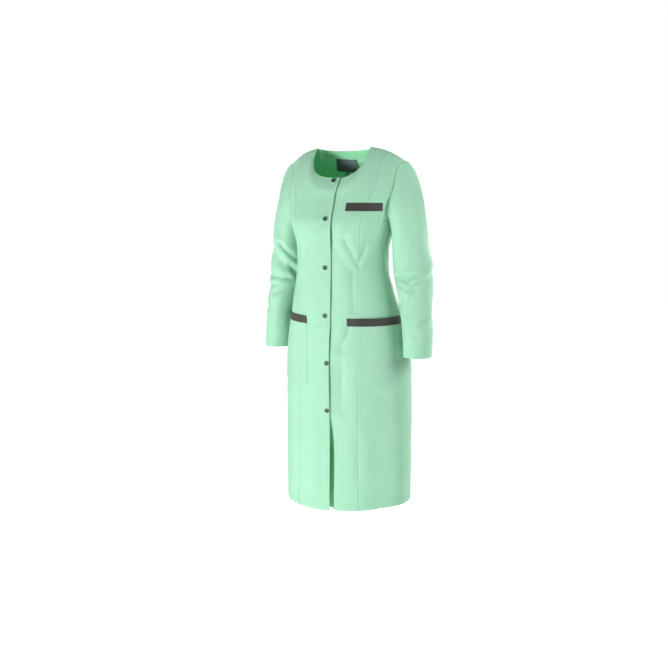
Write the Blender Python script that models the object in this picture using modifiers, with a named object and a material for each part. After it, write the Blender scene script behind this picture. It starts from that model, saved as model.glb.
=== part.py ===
"""Long collarless work coat, filled out as on its wearer, in a woman's medium size.

Units are metres. +X is the wearer's left, -Y the front and +Z up. The origin lies midway between
the neck ends of the two shoulder seams, where the coat hangs on the wearer's shoulders.

The coat is a wall of cloth round one smooth body form. A place on the form is an angle round the
body (0 at centre front, 90 at the left side, 180 at centre back) and a level: the height above the
chest ring, in metres. Levels from the hem to 0 are flat rings. Above 0 each line runs up over the
chest or the shoulder blades to the neckline and the shoulder seam, which are at level TOP.
"""

from collections import namedtuple
from math import asin, atan2, cos, degrees, exp, hypot, pi, radians, sin, sqrt

import bmesh
import bpy
from mathutils import Vector

# ---- driving dimensions -------------------------------------------------------------------------
COAT_LENGTH = 1.062      # neck point to hem
NECK_HALF_WIDTH = 0.0875
NECK_FRONT = (-0.066, -0.088)   # y and z of the neckline at centre front
NECK_BACK = (0.046, -0.008)     # y and z of the neckline at centre back
SHOULDER = Vector((0.188, 0.022, -0.042))
CHEST_RING_Z = -0.150    # highest flat ring
UNDERARM_Z = -0.213
SLEEVE_HEM_Z = -0.602

CLOTH = 0.0015           # wall of one panel
TRIM_CLOTH = 0.0012      # wall of a pocket, band, facing or label
SEAM_GAP = 0.0003
SLEEVE_GAP = 0.0006      # round the armhole, where the walls meet at an angle

TOP = 0.112              # level of the neckline and the shoulder seam
NECK_ANGLE = 36.0        # angle of the neck point on the top edge
HEM = -COAT_LENGTH - CHEST_RING_Z
UNDERARM = UNDERARM_Z - CHEST_RING_Z

COLOURS = {
    "mint_cloth": ((0.36, 0.80, 0.53), 0.75, 0.0),
    "mint_facing": ((0.30, 0.72, 0.46), 0.75, 0.0),
    "charcoal_cloth": ((0.065, 0.062, 0.058), 0.80, 0.0),
    "label_cloth": ((0.085, 0.095, 0.100), 0.70, 0.0),
    "size_tab_cloth": ((0.25, 0.21, 0.22), 0.70, 0.0),
    "snap_metal": ((0.06, 0.13, 0.11), 0.35, 0.6),
}

# ---- body form ----------------------------------------------------------------------------------
BodyRing = namedtuple("BodyRing", "z half_width front side back squareness")
BODY_RINGS = (
    #        z       half_width  front    side    back   squareness (0 is an ellipse)
    BodyRing(-1.062, 0.2080, -0.1160, 0.0430, 0.1590, 0.000),   # hem
    BodyRing(-0.920, 0.2090, -0.1145, 0.0440, 0.1620, 0.000),
    BodyRing(-0.760, 0.2070, -0.1125, 0.0440, 0.1640, 0.000),
    BodyRing(-0.600, 0.1965, -0.1125, 0.0390, 0.1600, 0.004),   # fullest hip
    BodyRing(-0.500, 0.1760, -0.1165, 0.0270, 0.1380, 0.006),
    BodyRing(-0.446, 0.1625, -0.1170, 0.0110, 0.1200, 0.010),
    BodyRing(-0.400, 0.1485, -0.1160, 0.0030, 0.1070, 0.018),
    BodyRing(-0.355, 0.1390, -0.1150, -0.0040, 0.1005, 0.022),   # waist
    BodyRing(-0.315, 0.1358, -0.1150, -0.0030, 0.1015, 0.026),
    BodyRing(-0.270, 0.1385, -0.1160, 0.0000, 0.1080, 0.032),
    BodyRing(-0.213, 0.1560, -0.1150, 0.0040, 0.1130, 0.035),   # underarm
    BodyRing(-0.150, 0.1720, -0.0950, 0.0120, 0.1070, 0.035),   # chest ring
)
HEM_TILT, TILT_FROM = 0.013, -0.600   # the hem hangs lower on the wearer's right

# Bust fullness sewn in by the seams over the front: a soft rise on each side.
BUST_ANGLE, BUST_SPREAD = 37.0, 20.0
BUST_Z, BUST_HEIGHT = -0.225, 0.055
BUST_RISE = 0.008

# Soft folds of the hanging cloth: a trough (or a ridge, where the depth is negative) from one place
# to another. Angles are round the body, and the width is half of the trough's.
BodyFold = namedtuple("BodyFold", "angle z to_angle to_z width depth")
BODY_FOLDS = (
    #        angle    z      to_angle  to_z   width   depth
    BodyFold(12.0, -0.640, 15.0, -1.080, 0.022, 0.0050),
    BodyFold(44.0, -0.760, 50.0, -1.090, 0.034, 0.0045),
    BodyFold(68.0, -0.800, 72.0, -1.090, 0.030, -0.0040),
    BodyFold(100.0, -0.700, 104.0, -1.090, 0.036, 0.0055),
    BodyFold(140.0, -0.740, 142.0, -1.090, 0.038, 0.0060),
    BodyFold(176.0, -0.780, 172.0, -1.090, 0.036, -0.0050),
    BodyFold(-148.0, -0.700, -150.0, -1.090, 0.038, 0.0060),
    BodyFold(-104.0, -0.760, -102.0, -1.090, 0.036, 0.0050),
    BodyFold(-58.0, -0.780, -62.0, -1.090, 0.032, 0.0035),
    BodyFold(14.0, -0.290, 33.0, -0.350, 0.016, 0.0035),
    BodyFold(52.0, -0.270, 36.0, -0.345, 0.016, 0.0030),
    BodyFold(128.0, -0.340, 172.0, -0.365, 0.016, 0.0040),
    BodyFold(-128.0, -0.330, -168.0, -0.350, 0.016, 0.0040),
)
FOLD_RADIUS = 0.150      # turns an angle round the body into a distance along the cloth

# ---- seam lines ---------------------------------------------------------------------------------
# Distance of the front seam from centre front, up to the chest ring. Above it the seam runs on to
# the middle of the shoulder.
FrontSeam = namedtuple("FrontSeam", "z across")
FRONT_SEAM = (
    FrontSeam(-1.062, 0.1030),
    FrontSeam(-0.740, 0.0970),
    FrontSeam(-0.500, 0.0960),
    FrontSeam(-0.355, 0.0960),
    FrontSeam(-0.225, 0.1060),
    FrontSeam(-0.150, 0.1170),
)
FRONT_SEAM_TOP_ANGLE = 64.8

# How far each front laps past centre front.
Lap = namedtuple("Lap", "z across")
LAPS = (
    Lap(-1.062, 0.0110),
    Lap(-0.620, 0.0110),
    Lap(-0.480, 0.0170),
    Lap(-0.088, 0.0180),
)
LAP_SINK = 0.0024        # the under front lies this far inside the upper one
LAP_RAMP = (0.020, 0.050)   # ... from here, back to the form's surface there, along the cloth
HEM_SINK = 0.011         # the under front falls further back below the last snap
HEM_SINK_FROM, HEM_SINK_TO = -0.790, -1.000

ARMHOLE_FRONT_CUT, ARMHOLE_BACK_CUT = 23.0, 16.0   # degrees that the armhole cuts into each side

# ---- sleeves ------------------------------------------------------------------------------------
SleeveRing = namedtuple("SleeveRing", "z across back half_wide half_deep")
SLEEVE_RINGS = (
    #          z      across   back    half_wide half_deep
    SleeveRing(-0.602, 0.2395, 0.0040, 0.0400, 0.0440),   # wrist
    SleeveRing(-0.520, 0.2350, 0.0120, 0.0430, 0.0490),
    SleeveRing(-0.440, 0.2245, 0.0200, 0.0470, 0.0530),
    SleeveRing(-0.350, 0.2085, 0.0280, 0.0540, 0.0590),   # elbow
    SleeveRing(-0.275, 0.1995, 0.0240, 0.0470, 0.0600),   # upper arm
)
CAP_REACH_TOP, CAP_REACH_UNDERARM = 0.038, 0.0040   # how far the sleeve runs outwards from the armhole
CAP_SLOPE = 0.8          # how steeply the cap leaves the shoulder
CAP_DROP = 0.36          # share of the way to the upper-arm ring that a line keeps going down

# Sleeve folds: the angle is 0 on the outer side of the arm, 90 in front, 180 next to the body.
SleeveFold = namedtuple("SleeveFold", "angle z to_angle to_z width depth")
LEFT_SLEEVE_FOLDS = (
    SleeveFold(-35.0, -0.345, 65.0, -0.405, 0.0120, 0.0065),
    SleeveFold(65.0, -0.405, 110.0, -0.470, 0.0120, 0.0055),
    SleeveFold(80.0, -0.375, 150.0, -0.385, 0.0110, 0.0060),
    SleeveFold(-20.0, -0.325, 60.0, -0.372, 0.0150, -0.0040),
    SleeveFold(200.0, -0.350, 260.0, -0.380, 0.0140, 0.0050),
    SleeveFold(-70.0, -0.420, 0.0, -0.500, 0.0160, 0.0045),
    SleeveFold(60.0, -0.200, 100.0, -0.300, 0.0160, 0.0045),
    SleeveFold(-80.0, -0.230, -110.0, -0.330, 0.0160, 0.0045),
)
RIGHT_SLEEVE_FOLDS = (
    SleeveFold(25.0, -0.290, 100.0, -0.335, 0.0120, 0.0060),
    SleeveFold(95.0, -0.340, 150.0, -0.372, 0.0130, 0.0070),
    SleeveFold(10.0, -0.375, 120.0, -0.378, 0.0110, 0.0050),
    SleeveFold(0.0, -0.425, 100.0, -0.400, 0.0130, 0.0045),
    SleeveFold(200.0, -0.345, 265.0, -0.370, 0.0140, 0.0050),
    SleeveFold(-60.0, -0.300, -10.0, -0.345, 0.0140, 0.0040),
    SleeveFold(60.0, -0.190, 100.0, -0.280, 0.0160, 0.0040),
    SleeveFold(-80.0, -0.230, -110.0, -0.330, 0.0160, 0.0045),
)

# ---- pockets, label and snaps -------------------------------------------------------------------
HIP_POCKET_TOP_Z, HIP_POCKET_BOTTOM_Z = -0.485, -0.690
HIP_POCKET_INNER_EDGE = 0.066   # distance from centre front; the outer edge is in the side seam
HIP_BAND_HEIGHT = 0.023
CHEST_BAND_TOP_Z, CHEST_BAND_BOTTOM_Z = -0.159, -0.182
CHEST_BAND_INNER_EDGE, CHEST_BAND_OUTER_EDGE = 0.063, 0.150

FACING_HALF_COLUMNS = 4  # the facing spans these columns of the back each way, one row deep
LABEL_TOP_ROW, LABEL_BOTTOM_ROW = 1.05, 2.65     # rows of the back below its neckline
LABEL_RIGHT, LABEL_LEFT = -0.047, 0.021
SIZE_TAB_TOP_ROW, SIZE_TAB_BOTTOM_ROW = 2.67, 3.1
SIZE_TAB_RIGHT, SIZE_TAB_LEFT = -0.014, -0.003
LIE_GAP = 0.0006         # between a panel and what is sewn flat on it

SNAP_HEIGHTS = (-0.0965, -0.204, -0.342, -0.480, -0.620, -0.762)
SNAP_RADIUS, SNAP_THICKNESS = 0.0068, 0.0026

# ---- grids --------------------------------------------------------------------------------------
ROW_STEP = 0.029         # height of a grid cell of the body
CENTRE_COLUMNS, SIDE_COLUMNS, BACK_HALF_COLUMNS = 9, 6, 10
KEY_HEIGHTS = (
    -COAT_LENGTH, HIP_POCKET_BOTTOM_Z, HIP_POCKET_TOP_Z - HIP_BAND_HEIGHT, HIP_POCKET_TOP_Z,
    -0.355, -0.290, UNDERARM_Z, CHEST_BAND_BOTTOM_Z, CHEST_BAND_TOP_Z, CHEST_RING_Z,
)
SLEEVE_ROW_STEP = 0.022
TINY = 1e-4              # step of the numeric slopes
EDGE = 0.002             # a cut leaves out the panel's own points that are nearer to its line


def smooth_step(low, high, value):
    share = min(1.0, max(0.0, (value - low) / (high - low)))
    return share * share * (3 - 2 * share)


def mix(a, b, share):
    return a + (b - a) * share


def from_table(rows, column, z):
    """The value of a column at height z, on a smooth curve through the table's rows."""
    heights = [row.z for row in rows]
    values = [getattr(row, column) for row in rows]
    if z <= heights[0]:
        return values[0]
    if z >= heights[-1]:
        return values[-1] + slope_at(heights, values, len(rows) - 1) * (z - heights[-1])
    k = max(i for i, height in enumerate(heights[:-1]) if height <= z)
    span = heights[k + 1] - heights[k]
    t = (z - heights[k]) / span
    start, end = slope_at(heights, values, k) * span, slope_at(heights, values, k + 1) * span
    return (
        values[k] * (2 * t**3 - 3 * t**2 + 1)
        + start * (t**3 - 2 * t**2 + t)
        + values[k + 1] * (3 * t**2 - 2 * t**3)
        + end * (t**3 - t**2)
    )


def slope_at(heights, values, k):
    low, high = max(0, k - 1), min(len(values) - 1, k + 1)
    return (values[high] - values[low]) / (heights[high] - heights[low])


def fold_depth(folds, angle, z, radius):
    """How deep the folds press the cloth in at one place."""
    depth = 0.0
    for fold in folds:
        along = radians(fold.to_angle - fold.angle) * radius
        up = fold.to_z - fold.z
        turn = (angle - fold.angle + 180) % 360 - 180
        across, above = radians(turn) * radius, z - fold.z
        share = (across * along + above * up) / (along * along + up * up)
        nearest = min(1.0, max(0.0, share))
        away = hypot(across - along * nearest, above - up * nearest)
        ease = 0.35 + 0.65 * sin(pi * min(1.0, max(0.0, 0.15 + 0.7 * nearest)))
        depth += fold.depth * ease * exp(-((away / fold.width) ** 2))
    return depth


# ---- the body form ------------------------------------------------------------------------------
def ring_point(angle, z):
    """A point of the flat ring at height z, before the folds."""
    a = radians(angle)
    square = from_table(BODY_RINGS, "squareness", z)
    across = (sin(a) + square * sin(3 * a)) / (1 - square)
    ahead = (cos(a) - square * cos(3 * a)) / (1 - square)
    side = from_table(BODY_RINGS, "side", z)
    reach = from_table(BODY_RINGS, "front" if ahead > 0 else "back", z) - side
    turn = abs((angle + 180) % 360 - 180)
    bust = BUST_RISE * exp(
        -(((turn - BUST_ANGLE) / BUST_SPREAD) ** 2) - ((z - BUST_Z) / BUST_HEIGHT) ** 2
    )
    tilt = HEM_TILT * sin(a) * smooth_step(-TILT_FROM, COAT_LENGTH, -z)
    return Vector((
        from_table(BODY_RINGS, "half_width", z) * across + bust * sin(a),
        side + reach * abs(ahead) - bust * cos(a),
        z + tilt,
    ))


def top_edge(angle):
    """The neckline and the shoulder seam: the point, and the way a line of the form reaches it."""
    turn = (angle + 180) % 360 - 180
    mirror = 1 if turn >= 0 else -1
    forward = 1 if abs(turn) <= 90 else -1
    from_centre = abs(turn) if forward > 0 else 180 - abs(turn)
    neck_y, neck_z = NECK_FRONT if forward > 0 else NECK_BACK
    neck_way = Vector((0, 0.034 * forward, 0.020))
    if from_centre < NECK_ANGLE:
        a = radians(90 * from_centre / NECK_ANGLE)
        point = Vector((NECK_HALF_WIDTH * sin(a), neck_y * cos(a), neck_z * cos(a) ** 1.25))
        centre_way = Vector((0, 0.030, 0.042)) if forward > 0 else Vector((0, -0.016, 0.055))
        way = centre_way.lerp(neck_way, smooth_step(0, NECK_ANGLE, from_centre))
    else:
        share = (from_centre - NECK_ANGLE) / (90 - NECK_ANGLE)
        point = Vector((NECK_HALF_WIDTH, 0, 0)).lerp(SHOULDER, share)
        way = neck_way.lerp(Vector((0, 0.016 * forward, 0.012)), share)
    return Vector((point.x * mirror, point.y, point.z)), way


def is_shoulder_seam(angle, level):
    turn = abs((angle + 180) % 360 - 180)
    return level > TOP - TINY and NECK_ANGLE - TINY < turn < 180 - NECK_ANGLE + TINY


def shoulder_normal(angle):
    """The way out along the shoulder seam, which the front and the back share."""
    seam = SHOULDER - Vector((NECK_HALF_WIDTH, 0, 0))
    normal = seam.cross(Vector((0, 1, 0))).normalized()
    return Vector((normal.x * (1 if angle % 360 < 180 else -1), normal.y, abs(normal.z)))


def form_point(angle, level):
    """A point on the body form, before the folds."""
    if level <= 0:
        return ring_point(angle, CHEST_RING_Z + level)
    share = level / TOP
    start = ring_point(angle, CHEST_RING_Z)
    rise = (start - ring_point(angle, CHEST_RING_Z - 0.004)) / 0.004
    end, way = top_edge(angle)
    climb = max(0.018, (end - start).length * 0.42)
    low, high = start + rise.normalized() * climb, end - way
    return (
        start * (1 - share) ** 3
        + low * (3 * share * (1 - share) ** 2)
        + high * (3 * share**2 * (1 - share))
        + end * share**3
    )


def body_point(angle, level):
    """A point on the coat's outer surface."""
    point = form_point(angle, level)
    depth = fold_depth(BODY_FOLDS, angle, CHEST_RING_Z + level, FOLD_RADIUS)
    a = radians(angle)
    return point - Vector((sin(a), -cos(a), 0)) * depth


def body_normal(angle, level, place=body_point):
    """The way out of the surface, from the slopes round the body and up it."""
    if is_shoulder_seam(angle, level):
        return shoulder_normal(angle)
    step = TINY * 60
    level = min(level, TOP - TINY)
    around = place(angle + step, level) - place(angle - step, level)
    upward = place(angle, level) - place(angle, level - TINY * 5)
    return around.cross(upward).normalized()


def angle_across(across, z):
    """The angle at which the ring at height z is that far to the left of centre front."""
    half = from_table(BODY_RINGS, "half_width", z)
    guess = degrees(asin(max(-1.0, min(1.0, across / half))))
    for _ in range(6):
        slope = (ring_point(guess + 0.5, z).x - ring_point(guess - 0.5, z).x)
        guess -= (ring_point(guess, z).x - across) / slope
    return guess


def front_seam_angle(level):
    if level <= 0:
        z = CHEST_RING_Z + level
        return angle_across(from_table(FRONT_SEAM, "across", z), z)
    return mix(front_seam_angle(0), FRONT_SEAM_TOP_ANGLE, (level / TOP) ** 1.1)


def lap_angle(level):
    """The angle of a front's free edge past centre front."""
    z = CHEST_RING_Z + level
    if level <= 0:
        return angle_across(from_table(LAPS, "across", z), z)
    chest = lap_angle(0)
    top = NECK_ANGLE / 90 * degrees(asin(LAPS[-1].across / NECK_HALF_WIDTH))
    return mix(chest, top, level / TOP)


def armhole_angle(level, cut):
    """How far from the side, in degrees, the armhole's edge lies at a level."""
    if level <= UNDERARM:
        return 0.0
    share = (level - UNDERARM) / (TOP - UNDERARM)
    return cut * 2.7 * sqrt(share) * (1 - share) ** 1.1


def body_levels():
    """The levels of the grid's rows, with every key height among them."""
    keys = sorted(height - CHEST_RING_Z for height in KEY_HEIGHTS) + [TOP]
    levels = []
    for low, high in zip(keys, keys[1:]):
        count = max(1, round((high - low) / ROW_STEP))
        if low >= UNDERARM - TINY:
            count = max(1, round((high - low) / 0.0185))
        levels += [mix(low, high, k / count) for k in range(count)]
    return levels + [TOP]


LEVELS = body_levels()


def shares(count):
    return [k / count for k in range(count + 1)]


# ---- walls of cloth -----------------------------------------------------------------------------
def add_sheet(bm, grid, closed):
    """Two triangles for each cell of a grid of vertices."""
    for low, high in zip(grid, grid[1:]):
        columns = range(len(low)) if closed else range(len(low) - 1)
        for j in columns:
            k = (j + 1) % len(low)
            bm.faces.new((low[j], low[k], high[k]))
            bm.faces.new((low[j], high[k], high[j]))


def add_rim(bm, outer, inner, closed):
    """The strip that joins the edges of two sheets."""
    count = len(outer) if closed else len(outer) - 1
    for j in range(count):
        k = (j + 1) % len(outer)
        bm.faces.new((outer[j], outer[k], inner[k], inner[j]))


def wall(name, outer, inner, material, closed=False):
    """A closed wall of cloth between two grids of points, as a loft between unlike sections."""
    bm = bmesh.new()
    grids = [[[bm.verts.new(p) for p in row] for row in grid] for grid in (outer, inner)]
    for grid in grids:
        add_sheet(bm, grid, closed)
    for row in (0, -1):
        add_rim(bm, grids[0][row], grids[1][row], closed)
    if not closed:
        for column in (0, -1):
            sides = [[row[column] for row in grid] for grid in grids]
            add_rim(bm, sides[0], sides[1], False)
    bmesh.ops.recalc_face_normals(bm, faces=bm.faces)
    return add_object(name, bm, material)


def add_object(name, bm, material):
    mesh = bpy.data.meshes.new(name)
    bm.to_mesh(mesh)
    bm.free()
    mesh.shade_smooth()
    mesh.set_sharp_from_angle(angle=radians(50))
    mesh.materials.append(cloth_material(material))
    obj = bpy.data.objects.new(name, mesh)
    collection().objects.link(obj)
    return obj


def collection():
    name = "work_coat"
    if name not in bpy.data.collections:
        made = bpy.data.collections.new(name)
        bpy.context.scene.collection.children.link(made)
    return bpy.data.collections[name]


def cloth_material(name):
    if name in bpy.data.materials:
        return bpy.data.materials[name]
    colour, roughness, metallic = COLOURS[name]
    material = bpy.data.materials.new(name)
    material.use_nodes = True
    shader = material.node_tree.nodes["Principled BSDF"]
    shader.inputs["Base Color"].default_value = (*colour, 1)
    shader.inputs["Roughness"].default_value = roughness
    shader.inputs["Metallic"].default_value = metallic
    return material


def trimmed(grid, left=False, right=False, bottom=False, top=False):
    """The grid with its sewn edges drawn in by half of the seam's gap."""
    half = SEAM_GAP / 2
    for low, is_sewn in ((0, left), (-1, right)):
        if is_sewn:
            inside = 1 if low == 0 else -2
            for row in grid:
                row[low] = row[low] + (row[inside] - row[low]).normalized() * half
    for low, is_sewn in ((0, bottom), (-1, top)):
        if is_sewn:
            inside = 1 if low == 0 else -2
            for j in range(len(grid[low])):
                step = grid[inside][j] - grid[low][j]
                grid[low][j] = grid[low][j] + step.normalized() * half
    return grid


def surface(places, sink=None):
    """Rows of (point, way out) on the body form. sink is how far the cloth dips inside it."""
    rows = []
    for places_row in places:
        row = []
        for angle, level in places_row:
            normal = body_normal(angle, level)
            depth = sink(angle, level) if sink else 0
            row.append((body_point(angle, level) - normal * depth, normal))
        rows.append(row)
    return rows


def body_wall(name, rows, out=0.0, thickness=CLOTH, material="mint_cloth", **sewn):
    """A wall of cloth whose outer face lies a distance out from the rows of a surface."""
    outer = [[point + normal * out for point, normal in row] for row in rows]
    inner = [[point + normal * (out - thickness) for point, normal in row] for row in rows]
    return wall(name, trimmed(outer, **sewn), trimmed(inner, **sewn), material)


# ---- panels -------------------------------------------------------------------------------------
def centre_places(side):
    """Grid of a centre front: from its free edge past centre front to its seam. side is 1 on the left."""
    rows = []
    for level in LEVELS:
        edge, seam = -lap_angle(level), front_seam_angle(level)
        inside = [seam * share for share in shares(CENTRE_COLUMNS)]
        rows.append([(side * angle, level) for angle in [edge] + inside])
    return rows


def side_places(side):
    rows = []
    for level in LEVELS:
        seam = front_seam_angle(level)
        edge = 90 - armhole_angle(level, ARMHOLE_FRONT_CUT)
        rows.append([(side * mix(seam, edge, share), level) for share in shares(SIDE_COLUMNS)])
    return rows


def back_places():
    rows = []
    for level in LEVELS:
        edge = 90 + armhole_angle(level, ARMHOLE_BACK_CUT)
        half = [mix(edge, 180, share) for share in shares(BACK_HALF_COLUMNS)]
        other = [360 - angle for angle in reversed(half[:-1])]
        rows.append([(angle, level) for angle in half + other])
    return rows


def lap_sink(angle, level):
    """The left front goes under the right one: how far it lies inside the form."""
    z = CHEST_RING_Z + min(level, 0)
    across = ring_point(angle, z).x
    sink = LAP_SINK * (1 - smooth_step(*LAP_RAMP, across))
    fall = smooth_step(-HEM_SINK_FROM, -HEM_SINK_TO, -z)
    return sink + HEM_SINK * fall * (1 - smooth_step(0.004, 0.060, across))


def front_panels():
    """Both centre fronts and side fronts. Returns the rows of each pair, by side."""
    rows = {}
    for side, hand, sink in ((-1, "right", None), (1, "left", lap_sink)):
        centre = surface(centre_places(side), sink)
        beside = surface(side_places(side), sink)
        body_wall(f"front_{hand}", centre, right=True, top=True)
        body_wall(f"side_front_{hand}", beside, left=True, right=True, top=True)
        rows[side] = (centre, beside)
    return rows


def back_panel():
    rows = surface(back_places())
    body_wall("back", rows, left=True, right=True, top=True)
    return rows


# ---- pockets ------------------------------------------------------------------------------------
def crossing(row, across):
    """The place on a row of a surface at a distance across, or the row's own end beyond it."""
    for (a, m), (b, n) in zip(row, row[1:]):
        if min(a.x, b.x) <= across < max(a.x, b.x):
            share = (across - a.x) / (b.x - a.x)
            return a.lerp(b, share), m.lerp(n, share).normalized()
    return min(row, key=lambda place: abs(place[0].x - across))


def cut(rows, from_across, to_across):
    """The part of each row between two distances across, with the row's own points that lie in it."""
    low, high = sorted((from_across, to_across))
    inside = [
        {k for k, (point, _) in enumerate(row) if low + EDGE < point.x < high - EDGE}
        for row in rows
    ]
    kept = sorted(set.intersection(*inside))
    return [
        [crossing(row, from_across)] + [row[k] for k in kept] + [crossing(row, to_across)]
        for row in rows
    ]


def front_rows(fronts, side, bottom_z, top_z):
    """The rows of a centre front and its side front, from centre front to the side seam."""
    rows = []
    for level, centre, beside in zip(LEVELS, *fronts[side]):
        if bottom_z - TINY <= level + CHEST_RING_Z <= top_z + TINY:
            rows.append(centre[1:] + beside[1:])
    return rows


def pockets(fronts):
    """Patch pockets at the hips with contrast bands along their mouths, and the chest welt."""
    step = LIE_GAP + TRIM_CLOTH
    for hand, side in (("right", -1), ("left", 1)):
        reach = (side * HIP_POCKET_INNER_EDGE, side * 1.0)
        band_z = HIP_POCKET_TOP_Z - HIP_BAND_HEIGHT
        patch = cut(front_rows(fronts, side, HIP_POCKET_BOTTOM_Z, HIP_POCKET_TOP_Z), *reach)
        band = cut(front_rows(fronts, side, band_z, HIP_POCKET_TOP_Z), *reach)
        body_wall(f"hip_pocket_{hand}", patch, step, TRIM_CLOTH, right=True)
        body_wall(f"hip_band_{hand}", band, 2 * step, TRIM_CLOTH, "charcoal_cloth", right=True)
    welt = front_rows(fronts, 1, CHEST_BAND_BOTTOM_Z, CHEST_BAND_TOP_Z)
    welt = cut(welt, CHEST_BAND_INNER_EDGE, CHEST_BAND_OUTER_EDGE)
    body_wall("chest_band", welt, step, TRIM_CLOTH, "charcoal_cloth")


# ---- sleeves ------------------------------------------------------------------------------------
def armhole_loop(side):
    """(point, way in which the sleeve leaves the body) round the armhole: from the shoulder down the
    front to the underarm, and up the back."""
    levels = [level for level in LEVELS if level >= UNDERARM - TINY]
    front = [(90 - armhole_angle(level, ARMHOLE_FRONT_CUT), level) for level in reversed(levels)]
    back = [(90 + armhole_angle(level, ARMHOLE_BACK_CUT), level) for level in levels[1:-1]]
    loop = []
    for angle, level in front + back:
        point, normal = body_point(side * angle, level), body_normal(side * angle, level)
        height = smooth_step(UNDERARM, TOP, level)
        way = Vector((side, 0, -CAP_SLOPE * height)).normalized()
        way = way - normal * min(0.0, way.dot(normal))
        loop.append((point, way.normalized(), height))
    return loop


def sleeve_ring_point(side, angle, z):
    a = radians(angle)
    return Vector((
        side * (from_table(SLEEVE_RINGS, "across", z)
                + from_table(SLEEVE_RINGS, "half_wide", z) * cos(a)),
        from_table(SLEEVE_RINGS, "back", z) - from_table(SLEEVE_RINGS, "half_deep", z) * sin(a),
        z,
    ))


def loop_angles(points):
    """The sleeve angle of each armhole point: 0 at the shoulder and 180 at the underarm, by distance."""
    steps = [(b - a).length for a, b in zip(points, points[1:] + points[:1])]
    lowest = min(range(len(points)), key=lambda k: points[k].z)
    down, up = sum(steps[:lowest]), sum(steps[lowest:])
    angles, walked = [], 0.0
    for k, step in enumerate(steps):
        angles.append(180 * walked / down if k <= lowest else 180 + 180 * (walked - down) / up)
        walked += step
    return angles


def sleeve_grid(side, folds):
    loop = armhole_loop(side)
    angles = loop_angles([point for point, _, _ in loop])
    arm_z = SLEEVE_RINGS[-1].z
    rows = []
    cap_rows = 9
    for k in range(cap_rows):
        share = k / cap_rows
        row = []
        for (point, way, height), angle in zip(loop, angles):
            ring = sleeve_ring_point(side, angle, arm_z)
            reach = mix(CAP_REACH_UNDERARM, CAP_REACH_TOP, height)
            start = point + way * SLEEVE_GAP
            low = ring + Vector((0, 0, (start - ring).length * CAP_DROP))
            row.append(
                start * (1 - share) ** 3
                + (start + way * reach) * (3 * share * (1 - share) ** 2)
                + low * (3 * share**2 * (1 - share))
                + ring * share**3
            )
        rows.append(row)
    count = round((arm_z - SLEEVE_HEM_Z) / SLEEVE_ROW_STEP)
    for k in range(count + 1):
        z = mix(arm_z, SLEEVE_HEM_Z, k / count)
        rows.append([sleeve_ring_point(side, angle, z) for angle in angles])
    for k, row in enumerate(rows[1:], 1):
        ease = min(1.0, k / 5)
        for j, angle in enumerate(angles):
            a = radians(angle)
            depth = fold_depth(folds, angle, row[j].z, 0.052) * ease
            row[j] = row[j] - Vector((side * cos(a), -sin(a), 0)) * depth
    return rows


def grid_normals(grid, side):
    """The way out at each point of a tube's grid, whose columns close round."""
    normals = []
    for k, row in enumerate(grid):
        above, below = grid[max(0, k - 1)], grid[min(len(grid) - 1, k + 1)]
        count = len(row)
        normals.append([
            (row[(j + 1) % count] - row[j - 1]).cross(below[j] - above[j]).normalized() * side
            for j in range(count)
        ])
    return normals


def sleeve(name, side, folds):
    outer = sleeve_grid(side, folds)
    normals = grid_normals(outer, side)
    for j, (_, way, _) in enumerate(armhole_loop(side)):
        normals[0][j] = (normals[0][j] - way * normals[0][j].dot(way)).normalized()
    inner = [[p - n * CLOTH for p, n in zip(row, way)] for row, way in zip(outer, normals)]
    wall(name, outer, inner, "mint_cloth", closed=True)


# ---- facing and label ---------------------------------------------------------------------------
def row_at(rows, position):
    """A row between two rows of a surface, by how many rows it lies below the top."""
    low = len(rows) - 2 - int(position)
    share = 1 - (position - int(position))
    return [
        (a.lerp(b, share), m.lerp(n, share).normalized())
        for (a, m), (b, n) in zip(rows[low], rows[low + 1])
    ]


def facing(back):
    """The back neck facing, turned in and sewn flat inside the neckline."""
    middle = BACK_HALF_COLUMNS
    reach = FACING_HALF_COLUMNS
    rows = [row[middle - reach : middle + reach + 1] for row in back[-2:]]
    body_wall("back_neck_facing", rows, -CLOTH - LIE_GAP, TRIM_CLOTH, "mint_facing")


def labels(back):
    """The label below the facing, and the size tab that hangs from its lower edge."""
    for name, top, bottom, right, left, material in (
        ("neck_label", LABEL_TOP_ROW, LABEL_BOTTOM_ROW, LABEL_RIGHT, LABEL_LEFT, "label_cloth"),
        ("size_tab", SIZE_TAB_TOP_ROW, SIZE_TAB_BOTTOM_ROW, SIZE_TAB_RIGHT, SIZE_TAB_LEFT,
         "size_tab_cloth"),
    ):
        rows = [row_at(back, place) for place in (bottom, int(bottom), top)]
        body_wall(name, cut(rows, left, right), -CLOTH - 1.5 * LIE_GAP, TRIM_CLOTH, material)


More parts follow.
